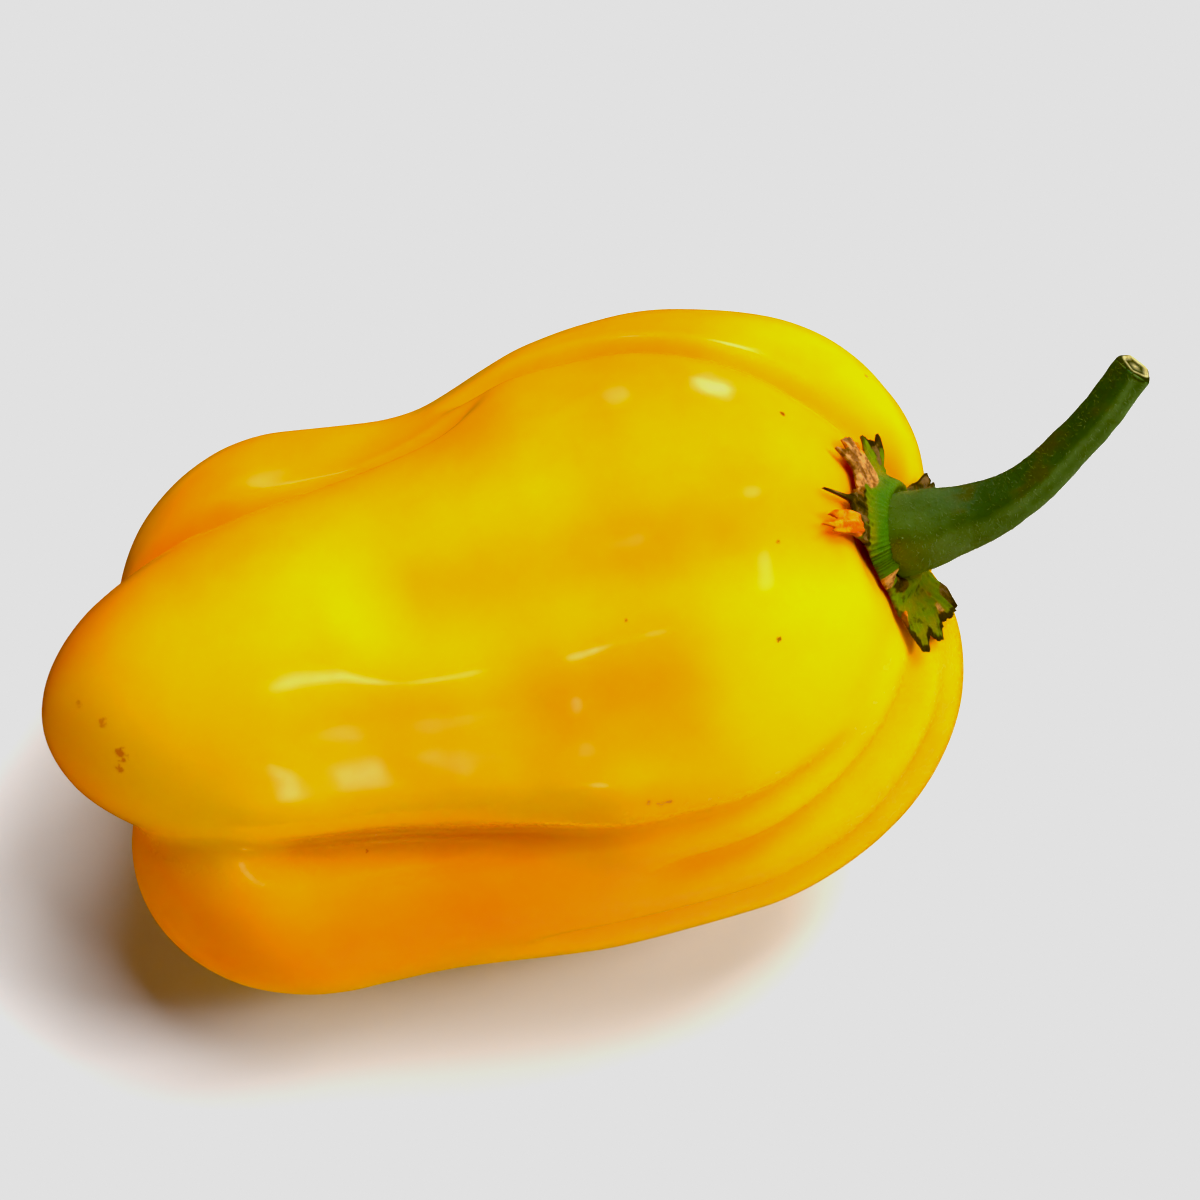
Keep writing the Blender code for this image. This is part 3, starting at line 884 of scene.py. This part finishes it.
class StemSettings(bpy.types.PropertyGroup):
    """The stem's sizes and colours, and the down on it."""

    dark_green: color_property("Dark green", "Upper side of the stem", (0.013, 0.036, 0.014))
    # Painted light: this green lights up the stem's lower side; at the foot it is the stem's own colour
    foot_and_painted_light_green: color_property("Bright green", "Lower side and foot of the stem", (0.072, 0.128, 0.028))
    foot_radius: length_property("Foot radius", "Radius where the stem stands on the calyx", 0.00298)
    radius: length_property("Radius", "Radius of the stem beyond its foot", 0.00138)
    flare: length_property("Flare", "Length over which the foot narrows", 0.0073)
    ridge: length_property("Ridge", "Height of the soft ridges along the stem", 0.00010)
    hair_length: length_property("Hair length", "Length of the down on the stem", 0.00036)
    hair_radius: length_property("Hair radius", "Radius of a hair at its root", 0.000013)
    hair_density: bpy.props.FloatProperty(
        name="Hair density", description="Hairs on a square metre", default=1.1e7, min=0.0
    )


class StageSettings(bpy.types.PropertyGroup):
    """The table and the lights."""

    table_color: color_property("Table color", "Color of the table", (0.80, 0.80, 0.80))
    key_power: power_property("Key light", "Power of the main light", 4.0)
    glint_power: power_property("Glints", "Power of each small lamp", 0.07)
    backdrop: bpy.props.FloatProperty(
        name="Backdrop", description="Brightness behind the table", default=1.0, min=0.0
    )


# Pieces


class PEPPER_OT_pod(bpy.types.Operator):
    """Makes the pod's finely furrowed, gently waving skin"""

    bl_idname = "pepper.pod"
    bl_label = "Pod"

    def waves(self, points, x, turn, girth, sizes):
        """How far the skin's waves, swells and hollows stand over the points."""
        waves = sizes.broad_waves * rough(points, BROAD_WAVE, 1)
        waves = waves + sizes.small_waves * rough(points, SMALL_WAVE, 2)
        for middle, half_width, start, end, height in SWELLS:
            across = girth * np.radians(angle_apart(turn, middle + SWELL_TURN * x))
            stretch = ease(start, start + SWELL_FADE, x) * (1.0 - ease(end - SWELL_FADE, end, x))
            waves = waves + height * stretch * np.exp(-((across / half_width) ** 2))
        return waves

    def warmth_and_painted_shade(self, points, x, turn, girth):
        """How orange the skin's colour is, from 0 to 1: its own colour at the nose, and painted shade in the
        folds and furrows, round the calyx, on the back lobe and on the top of the shoulders.
        """
        furrow = np.clip(furrow_depth(x, turn, girth) / FULL_FURROW, 0.0, 1.0)
        _, foot, _ = seat_middle()
        reach, calyx_shade_amount = CALYX_PAINTED_SHADE
        calyx_shade_mask = np.exp(-((np.linalg.norm(points - foot, axis=-1) / reach) ** 6))
        start, full, at_nose = WARM_NOSE
        # Painted shade: the furrows and the skin round the calyx are made more orange
        warmth_and_painted_shade = WARM_ALL_OVER + FURROW_PAINTED_SHADE * furrow + calyx_shade_amount * calyx_shade_mask
        warmth_and_painted_shade = warmth_and_painted_shade + at_nose * ease(start, full, x)
        for middle, half_angle, power, start, full, amount in WARM_AND_PAINTED_SHADE_ZONES:
            warmth_and_painted_shade = warmth_and_painted_shade + amount * hump(turn, middle, half_angle, power) * ease(start, full, x)
        return np.clip(warmth_and_painted_shade, 0.0, 1.0)

    def execute(self, context):
        sizes = context.scene.pepper_pod
        points = skin_points(sizes.rows, sizes.spokes)
        x, y, z = points[..., 0], points[..., 1], points[..., 2] - spine_height(points[..., 0])
        turn, girth = np.arctan2(-y, z), np.hypot(y, z)
        waved = points + outward(points, True) * self.waves(points, x, turn, girth, sizes)[..., None]
        for pole in (0, -1):
            waved[pole] = waved[pole, 0]
        start, end, loss = LOW_FADE
        low = hump(turn, *LOW_SIDE) * (1.0 - loss * ease(start, end, x))
        lying = laid_down(waved)
        lying[..., 2] = np.maximum(lying[..., 2], 0.0)
        attributes = [("warmth_and_painted_shade", self.warmth_and_painted_shade(points, x, turn, girth)), ("low", low)]
        mesh = closed_mesh("pod_skin", lying, attributes)
        place("pod_skin", mesh, skin_material(sizes), "pod", "skin")
        return {"FINISHED"}


class PEPPER_OT_calyx(bpy.types.Operator):
    """Makes the calyx: the seat and ring round the stem, and the torn, dried lobes on the pod's shoulders"""

    bl_idname = "pepper.calyx"
    bl_label = "Calyx"

    def edge(self, turn):
        """Distance of the torn edge from the stem's middle."""
        corners = np.array(CALYX_EDGE)
        around = np.degrees(turn) % 360.0
        reach = np.interp(around, corners[:, 0], corners[:, 1], period=360.0) / 1000.0
        circle = np.stack([np.cos(turn), np.sin(turn), np.zeros_like(turn)], axis=-1)
        for height, size, seed in EDGE_RAGS:
            reach = reach + height * rough(circle, size, seed)
        return reach

    def tint(self, turn, distance, zones):
        """How much of a tint there is at angles round the stem and a distance from its middle."""
        total = np.zeros_like(turn)
        far = distance * 1000
        for middle, half_angle, inner, outer, amount in zones:
            band = ease(inner - TINT_FADE, inner + TINT_FADE, far)
            band = band * (1.0 - ease(outer - TINT_FADE, outer + TINT_FADE, far))
            total = np.maximum(total, amount * band * hump(turn, middle, half_angle))
        return total

    def ring(self, turn, distance, reach):
        """Height of the ring round the stem, which is partly worn off and runs down at the torn edge."""
        left = 1.0 - sum(humps(turn, [worn]) for worn in RING_WORN)
        shoulder = np.clip((reach - distance) / RING_SHOULDER, 0.0, 1.0)
        ring = RING_RISE * left * np.exp(-(((distance - RING_RADIUS) / RING_HALF_WIDTH) ** 2))
        return ring * np.sqrt(1.0 - (1.0 - shoulder) ** 2)

    def thickness(self, turn, skin, share, sizes):
        """Thinner towards the torn edge, and wrinkled and crumpled there."""
        smooth = between((sizes.thickness, sizes.edge_thickness), share)
        wrinkle = WRINKLE * share * np.sin(turn * WRINKLES + WRINKLE_DRIFT * rough(skin, 0.003, 5))
        crumple = CRUMPLE * ease(*CRUMPLE_SHARES, share) * rough(skin, 0.0012, 6)
        return smooth + wrinkle + np.abs(crumple)

    def execute(self, context):
        sizes = context.scene.pepper_calyx
        start, foot, axis = seat_middle()
        turn = np.linspace(0.0, 2 * math.pi, sizes.spokes, endpoint=False)
        reach, lift = self.edge(turn), humps(turn, LIFTS)
        inner = CALYX_STEPS[-1]
        steps = [(np.full_like(turn, distance), 0.0) for distance in CALYX_STEPS]
        steps += [(inner + (reach - inner) * share, share) for share in CALYX_SHARES]
        upper, under, masks = [], [], {label: [] for label in (*CALYX_TINTS, "rim")}
        for distance, share in steps:
            skin = skin_along(start, rays(distance / np.linalg.norm(foot - start), turn, axis), False)
            normal = outward(skin)
            under.append(skin + normal * (GAP + lift * share**2)[:, None])
            if distance[0] <= SEAT and not share:
                level = skin - ((skin - foot) @ axis)[:, None] * axis
                upper.append(level + axis * (GAP + SEAT_RISE))
            else:
                height = self.thickness(turn, skin, share, sizes) + self.ring(turn, distance, reach)
                upper.append(under[-1] + normal * height[:, None])
            for label, zones in CALYX_TINTS.items():
                masks[label].append(self.tint(turn, distance, zones))
            from_edge = (reach - distance) / RIM_WIDTH
            masks["rim"].append(np.clip(1.0 - from_edge, 0.0, 1.0) * ease(*RIM_START, distance))
        points = np.stack(upper + under[::-1])
        attributes = [(label, np.stack(rows + rows[::-1])) for label, rows in masks.items()]
        mesh = closed_mesh("calyx_cap", laid_down(points), attributes)
        place("calyx_cap", mesh, calyx_material(sizes), "calyx", "calyx")
        return {"FINISHED"}


def stem_foot():
    """Where the stem starts, just over the calyx's seat, and the direction in which it leaves."""
    _, foot, axis = seat_middle()
    return laid_down(foot + axis * (GAP + SEAT_RISE + GAP)), turned(axis)


def smooth_path(points, steps):
    """A smooth curve through the points, in a number of steps from each to the next."""
    slope = np.gradient(points, axis=0)
    share = np.linspace(0.0, 1.0, steps, endpoint=False)[:, None]
    path = []
    for k in range(len(points) - 1):
        bulge = share * (1.0 - share)
        straight = points[k] * (1.0 - share) + points[k + 1] * share
        step = points[k + 1] - points[k]
        path.append(straight + bulge * ((1.0 - share) * (slope[k] - step) - share * (slope[k + 1] - step)))
    return np.concatenate([*path, points[-1:]])


class Sweep(Nodes):
    """Builds a Geometry Nodes tree with named inputs, and turns its result into a plain mesh."""

    def __init__(self, name, sizes):
        super().__init__(bpy.data.node_groups.new(name, "GeometryNodeTree"))
        self.sizes = sizes
        self.tree.interface.new_socket("Geometry", in_out="INPUT", socket_type="NodeSocketGeometry")
        for label, (kind, _) in sizes.items():
            self.tree.interface.new_socket(label, in_out="INPUT", socket_type=kind)
        self.tree.interface.new_socket("Geometry", in_out="OUTPUT", socket_type="NodeSocketGeometry")
        self.given = self.tree.nodes.new("NodeGroupInput").outputs
        self.result = self.tree.nodes.new("NodeGroupOutput").inputs

    def store(self, geometry, label, value):
        """Keeps a value on every point under a name."""
        made = self.node(
            "GeometryNodeStoreNamedAttribute", {"data_type": "FLOAT", "domain": "POINT"},
            Geometry=geometry, Name=label, Value=value,
        )
        return made.outputs["Geometry"]

    def stored(self, label):
        made = self.node("GeometryNodeInputNamedAttribute", {"data_type": "FLOAT"}, Name=label)
        return made.outputs["Attribute"]

    def finish(self, geometry, material):
        """Realizes the instances, sets the material and joins the tree's end."""
        real = self.node("GeometryNodeRealizeInstances", Geometry=geometry)
        coated = self.node("GeometryNodeSetMaterial", Geometry=real.outputs["Geometry"], Material=material)
        self.feed(self.result["Geometry"], coated.outputs["Geometry"])

    def made_on(self, carrier, name):
        """The tree's result on an object, as a plain mesh. The object goes."""
        modifier = carrier.modifiers.new(name, "NODES")
        modifier.node_group = self.tree
        for item in self.tree.interface.items_tree:
            if item.in_out == "INPUT" and item.name in self.sizes:
                modifier[item.identifier] = self.sizes[item.name][1]
        bpy.context.view_layer.update()
        evaluated = carrier.evaluated_get(bpy.context.evaluated_depsgraph_get())
        mesh = bpy.data.meshes.new_from_object(evaluated)
        mesh.name = name
        carrier.modifiers.remove(modifier)
        bpy.data.objects.remove(carrier)
        return mesh


class PEPPER_OT_stem(bpy.types.Operator):
    """Sweeps the stem along its route, with soft ridges and a slanted, pithy cut end"""

    bl_idname = "pepper.stem"
    bl_label = "Stem"

    def route(self):
        """The stem's middle line as a curve object."""
        foot, axis = stem_foot()
        path = foot + smooth_path(np.array([np.zeros(3), axis * STEM_STRAIGHT, *STEM_ROUTE]), 8)
        curve = bpy.data.curves.new("stem route", "CURVE")
        curve.dimensions = "3D"
        spline = curve.splines.new("POLY")
        spline.points.add(len(path) - 1)
        for point, spot in zip(spline.points, path):
            point.co = (*spot, 1.0)
        route = bpy.data.objects.new("stem route", curve)
        bpy.context.scene.collection.objects.link(route)
        return route

    def sweep(self, sizes, material):
        """The stem with its flared foot and its ridges; its far end is still square."""
        t = Sweep(
            "stem sweep",
            {
                "Foot Radius": ("NodeSocketFloat", sizes.foot_radius),
                "Radius": ("NodeSocketFloat", sizes.radius),
                "Flare": ("NodeSocketFloat", sizes.flare),
                "Ridge": ("NodeSocketFloat", sizes.ridge),
                "Sides": ("NodeSocketInt", STEM_SIDES),
                "Rings": ("NodeSocketInt", STEM_RINGS),
            },
        )
        even = t.node("GeometryNodeResampleCurve", Curve=t.given["Geometry"], Count=t.given["Rings"])
        along = t.node("GeometryNodeSplineParameter").outputs["Length"]
        share = t.math("POWER", t.math("DIVIDE", along, t.given["Flare"]), STEM_FLARE_CURVE)
        flare = t.math("EXPONENT", t.math("MULTIPLY", share, -1.0))
        wider = t.math("MULTIPLY", t.math("SUBTRACT", t.given["Foot Radius"], t.given["Radius"]), flare)
        circle = t.node("GeometryNodeCurvePrimitiveCircle", Resolution=t.given["Sides"], Radius=1.0)
        around = t.node("GeometryNodeSplineParameter").outputs["Factor"]
        tube = t.node(
            "GeometryNodeCurveToMesh", Curve=t.store(even.outputs["Curve"], "along", along),
            Profile_Curve=t.store(circle.outputs["Curve"], "around", around),
            Scale=t.math("ADD", t.given["Radius"], wider), Fill_Caps=True,
        )
        wave = t.math("SINE", t.math("MULTIPLY", t.stored("around"), 2 * math.pi * STEM_RIDGES))
        cloud = t.node("ShaderNodeTexNoise", Scale=420.0, Detail=2.0, Roughness=0.5)
        lump = t.math("MULTIPLY", t.math("SUBTRACT", cloud.outputs[0], 0.5), STEM_LUMPS)
        push = t.node("ShaderNodeVectorMath", {"operation": "SCALE"})
        t.feed(push.inputs[0], t.node("GeometryNodeInputNormal").outputs["Normal"])
        t.feed(push.inputs["Scale"], t.math("MULTIPLY", t.math("ADD", wave, lump), t.given["Ridge"]))
        ridged = t.node(
            "GeometryNodeSetPosition", Geometry=tube.outputs["Mesh"], Offset=push.outputs["Vector"]
        )
        t.finish(ridged.outputs["Geometry"], material)
        return t.made_on(self.route(), "stem_stalk")

    def cut_end(self, mesh, radius):
        """Slants the far end, gives it a rounded rim and a slightly sunken pith, and marks both."""
        shape = bmesh.new()
        shape.from_mesh(mesh)
        layers = {label: shape.verts.layers.float.new(label) for label in ("cut", "rim")}
        foot = Vector(stem_foot()[0])
        caps = [face for face in shape.faces if len(face.verts) > 4]
        bottom, end = sorted(caps, key=lambda face: (face.calc_center_median() - foot).length)
        normal, middle = end.normal.copy(), end.calc_center_median()
        facing = (normal + Vector(CUT_LEAN)).normalized()
        for vert in end.verts:
            vert.co -= normal * (vert.co - middle).dot(facing) / normal.dot(facing)
        marked = {"cut": [], "rim": list(end.verts)}
        for inset, depth, label in CUT_RINGS:
            before = set(shape.verts)
            bmesh.ops.inset_region(shape, faces=[end], thickness=inset * radius, depth=depth * radius)
            marked[label] += [vert for vert in shape.verts if vert not in before]
        poke = bmesh.ops.poke(shape, faces=[end, bottom])
        marked["cut"] += [vert for vert in poke["verts"] if (vert.co - middle).length < 2 * radius]
        bmesh.ops.recalc_face_normals(shape, faces=shape.faces)
        for label, verts in marked.items():
            for vert in verts:
                vert[layers[label]] = 1.0
        shape.to_mesh(mesh)
        shape.free()

    def shade(self, mesh):
        """Marks where the green is brighter: low down as painted light, and at the foot as the stem's own
        colour.
        """
        count = len(mesh.vertices)
        normal, along = np.zeros(count * 3, np.float32), np.zeros(count, np.float32)
        mesh.vertices.foreach_get("normal", normal)
        mesh.attributes["along"].data.foreach_get("value", along)
        # Painted light on the side that faces away from the direction
        start, full, painted_light_amount = PAINTED_LIGHT_SIDE
        green_foot_and_painted_light = painted_light_amount * ease(start, full, normal.reshape(-1, 3) @ np.array(PAINTED_LIGHT_AWAY_FROM))
        start, full, at_foot = BRIGHT_FOOT
        green_foot_and_painted_light = green_foot_and_painted_light + at_foot * ease(start, full, along)
        layer = mesh.attributes.new("green_foot_and_painted_light", "FLOAT", "POINT")
        layer.data.foreach_set("value", np.clip(green_foot_and_painted_light, 0.0, 1.0).astype(np.float32))

    def execute(self, context):
        sizes = context.scene.pepper_stem
        material = stem_material(sizes)
        mesh = self.sweep(sizes, material)
        self.cut_end(mesh, sizes.radius)
        mesh.shade_smooth()
        self.shade(mesh)
        place("stem_stalk", mesh, material, "stem", "stem")
        return {"FINISHED"}


class PEPPER_OT_down(bpy.types.Operator):
    """Scatters short pale hairs over the stem"""

    bl_idname = "pepper.down"
    bl_label = "Down"

    def execute(self, context):
        sizes = context.scene.pepper_stem
        stalk = bpy.data.objects.get("stem_stalk")
        if stalk is None:
            raise RuntimeError("make the stem before the down on it")
        t = Sweep(
            "down scatter",
            {
                "Hair Length": ("NodeSocketFloat", sizes.hair_length),
                "Hair Radius": ("NodeSocketFloat", sizes.hair_radius),
                "Density": ("NodeSocketFloat", sizes.hair_density),
                "Seed": ("NodeSocketInt", 4),
            },
        )
        off_the_cut = t.math("LESS_THAN", t.stored("cut"), 0.1)
        spots = t.node(
            "GeometryNodeDistributePointsOnFaces", Mesh=t.given["Geometry"],
            Density=t.math("MULTIPLY", t.given["Density"], off_the_cut), Seed=t.given["Seed"],
        )
        cone = t.node(
            "GeometryNodeMeshCone", {"fill_type": "NGON"}, Vertices=3, Side_Segments=2, Radius_Top=0.0,
            Radius_Bottom=t.given["Hair Radius"], Depth=t.given["Hair Length"],
        )
        tilt = t.node(
            "FunctionNodeRandomValue", {"data_type": "FLOAT_VECTOR"},
            Min=(-HAIR_LEAN,) * 3, Max=(HAIR_LEAN,) * 3,
        )
        leaning = t.node(
            "FunctionNodeRotateEuler", Rotation=spots.outputs["Rotation"], Rotate_By=tilt.outputs[0]
        )
        length = t.node("FunctionNodeRandomValue", {"data_type": "FLOAT"}, Seed=9)
        for number, share in zip((2, 3), HAIR_SHARES):
            t.feed(length.inputs[number], share)
        hairs = t.node(
            "GeometryNodeInstanceOnPoints", Points=spots.outputs["Points"], Instance=cone.outputs["Mesh"],
            Rotation=leaning.outputs["Rotation"], Scale=length.outputs[1],
        )
        material = down_material()
        t.finish(hairs.outputs["Instances"], material)
        carrier = bpy.data.objects.new("down carrier", stalk.data.copy())
        bpy.context.scene.collection.objects.link(carrier)
        place("stem_down", t.made_on(carrier, "stem_down"), material, None, "stem")
        return {"FINISHED"}


def facing_away(azimuth, elevation):
    """The direction out to a lamp or the camera: azimuth 0 is in front, 90 on the right."""
    a, e = math.radians(azimuth), math.radians(elevation)
    return Vector((math.sin(a) * math.cos(e), -math.cos(a) * math.cos(e), math.sin(e)))


class PEPPER_OT_stage(bpy.types.Operator):
    """Makes the table, the lights and the camera"""

    bl_idname = "pepper.stage"
    bl_label = "Stage"

    def table(self, sizes):
        mesh = bpy.data.meshes.new("table")
        corners = [(x * TABLE_HALF, y * TABLE_HALF, 0.0) for x, y in ((-1, -1), (1, -1), (1, 1), (-1, 1))]
        mesh.from_pydata(corners, [], [(0, 1, 2, 3)])
        mesh.materials.append(table_material(sizes))
        table = bpy.data.objects.new("table", mesh)
        bpy.context.scene.collection.objects.link(table)
        table.visible_glossy = False

    def light(self, name, away, size, power, color, glint):
        """A lamp that shines at the pod's middle and lights the pieces, or else only shows in their gloss."""
        data = bpy.data.lights.new(name, "AREA")
        data.shape = "RECTANGLE"
        data.size, data.size_y = size
        data.energy = power
        data.color = color
        lamp = bpy.data.objects.new(name, data)
        bpy.context.scene.collection.objects.link(lamp)
        lamp.visible_glossy = glint
        lamp.visible_diffuse = not glint
        lamp.visible_camera = False
        low, high = SOLID_BOUNDS
        spot = (Vector(low) + Vector(high)) / 2 + away
        lamp.matrix_world = Matrix.Translation(spot) @ away.to_track_quat("Z", "Y").to_matrix().to_4x4()

    def lights(self, sizes):
        for name, (azimuth, elevation, size, share, color) in LAMPS.items():
            away = facing_away(azimuth, elevation) * LAMP_DISTANCE
            self.light(name, away, size, share * sizes.key_power, color, False)
        for name, (azimuth, elevation, width, share) in GLINTS.items():
            away = facing_away(azimuth, elevation) * GLINT_DISTANCE
            self.light(name, away, (width, width), share * sizes.glint_power, GLINT_COLOR, True)

    def backdrop(self, scene, sizes):
        """A plain brightness that only the camera sees, behind the table."""
        world = bpy.data.worlds.new("backdrop")
        scene.world = world
        world.use_nodes = True
        background = world.node_tree.nodes["Background"]
        background.inputs["Color"].default_value = (*WHITE, 1.0)
        background.inputs["Strength"].default_value = sizes.backdrop
        world.cycles_visibility.glossy = False
        world.cycles_visibility.diffuse = False

    def camera(self):
        back = facing_away(CAMERA_AZIMUTH, CAMERA_ELEVATION)
        turn = (-back).to_track_quat("-Z", "Y").to_matrix()
        right, up = turn @ Vector((1, 0, 0)), turn @ Vector((0, 1, 0))
        spine = np.array([FOOT_SPINE_X, 0.0, spine_height(FOOT_SPINE_X)])
        aim = Vector(laid_down(spine))
        aim -= right * (FOOT_PIXEL[0] - PICTURE / 2) * PIXEL + up * (PICTURE / 2 - FOOT_PIXEL[1]) * PIXEL
        half = math.tan(math.radians(VIEW_ANGLE / 2))
        data = bpy.data.cameras.new("camera")
        data.sensor_width = 36.0
        data.lens = 0.5 * data.sensor_width / half
        data.clip_start = 0.01
        camera = bpy.data.objects.new("camera", data)
        bpy.context.scene.collection.objects.link(camera)
        camera.matrix_world = Matrix.Translation(aim + back * (PICTURE / 2 * PIXEL / half)) @ turn.to_4x4()
        bpy.context.scene.camera = camera

    def tone(self):
        """Whites end at a light grey, as in the photograph."""
        view = bpy.context.scene.view_settings
        view.view_transform = "Standard"
        view.look = "None"
        view.use_curve_mapping = True
        for curve, start in zip(view.curve_mapping.curves, BLACK_STARTS):
            curve.points[0].location = (start, 0.0)
            curve.points[-1].location = (1.0, WHITE_END)
            for point in curve.points:
                point.handle_type = "VECTOR"
        view.curve_mapping.extend = "HORIZONTAL"
        view.curve_mapping.update()

    def execute(self, context):
        sizes = context.scene.pepper_stage
        self.table(sizes)
        self.lights(sizes)
        self.backdrop(context.scene, sizes)
        self.camera()
        self.tone()
        return {"FINISHED"}


class PEPPER_PT_parts(bpy.types.Panel):
    """The pepper's pieces and their settings"""

    bl_label = "Chilli Pepper"
    bl_idname = "PEPPER_PT_parts"
    bl_space_type = "VIEW_3D"
    bl_region_type = "UI"
    bl_category = "Pepper"

    def draw(self, context):
        for kind, settings in MAKERS:
            box = self.layout.box()
            box.operator(kind.bl_idname)
            for label in getattr(context.scene, settings).bl_rna.properties.keys():
                if label not in ("rna_type", "name"):
                    box.prop(getattr(context.scene, settings), label)


SETTINGS = {
    "pepper_pod": PodSettings,
    "pepper_calyx": CalyxSettings,
    "pepper_stem": StemSettings,
    "pepper_stage": StageSettings,
}
MAKERS = (
    (PEPPER_OT_pod, "pepper_pod"),
    (PEPPER_OT_calyx, "pepper_calyx"),
    (PEPPER_OT_stem, "pepper_stem"),
    (PEPPER_OT_down, "pepper_stem"),
    (PEPPER_OT_stage, "pepper_stage"),
)


def register():
    for label, kind in SETTINGS.items():
        bpy.utils.register_class(kind)
        setattr(bpy.types.Scene, label, bpy.props.PointerProperty(type=kind))
    for kind, _ in MAKERS:
        bpy.utils.register_class(kind)
    bpy.utils.register_class(PEPPER_PT_parts)


def unregister():
    bpy.utils.unregister_class(PEPPER_PT_parts)
    for kind, _ in reversed(MAKERS):
        bpy.utils.unregister_class(kind)
    for label, kind in SETTINGS.items():
        delattr(bpy.types.Scene, label)
        bpy.utils.unregister_class(kind)


def main():
    register()
    bpy.ops.pepper.pod()
    bpy.ops.pepper.calyx()
    bpy.ops.pepper.stem()
    bpy.ops.pepper.down()
    bpy.ops.pepper.stage()


if __name__ == "__main__":
    main()
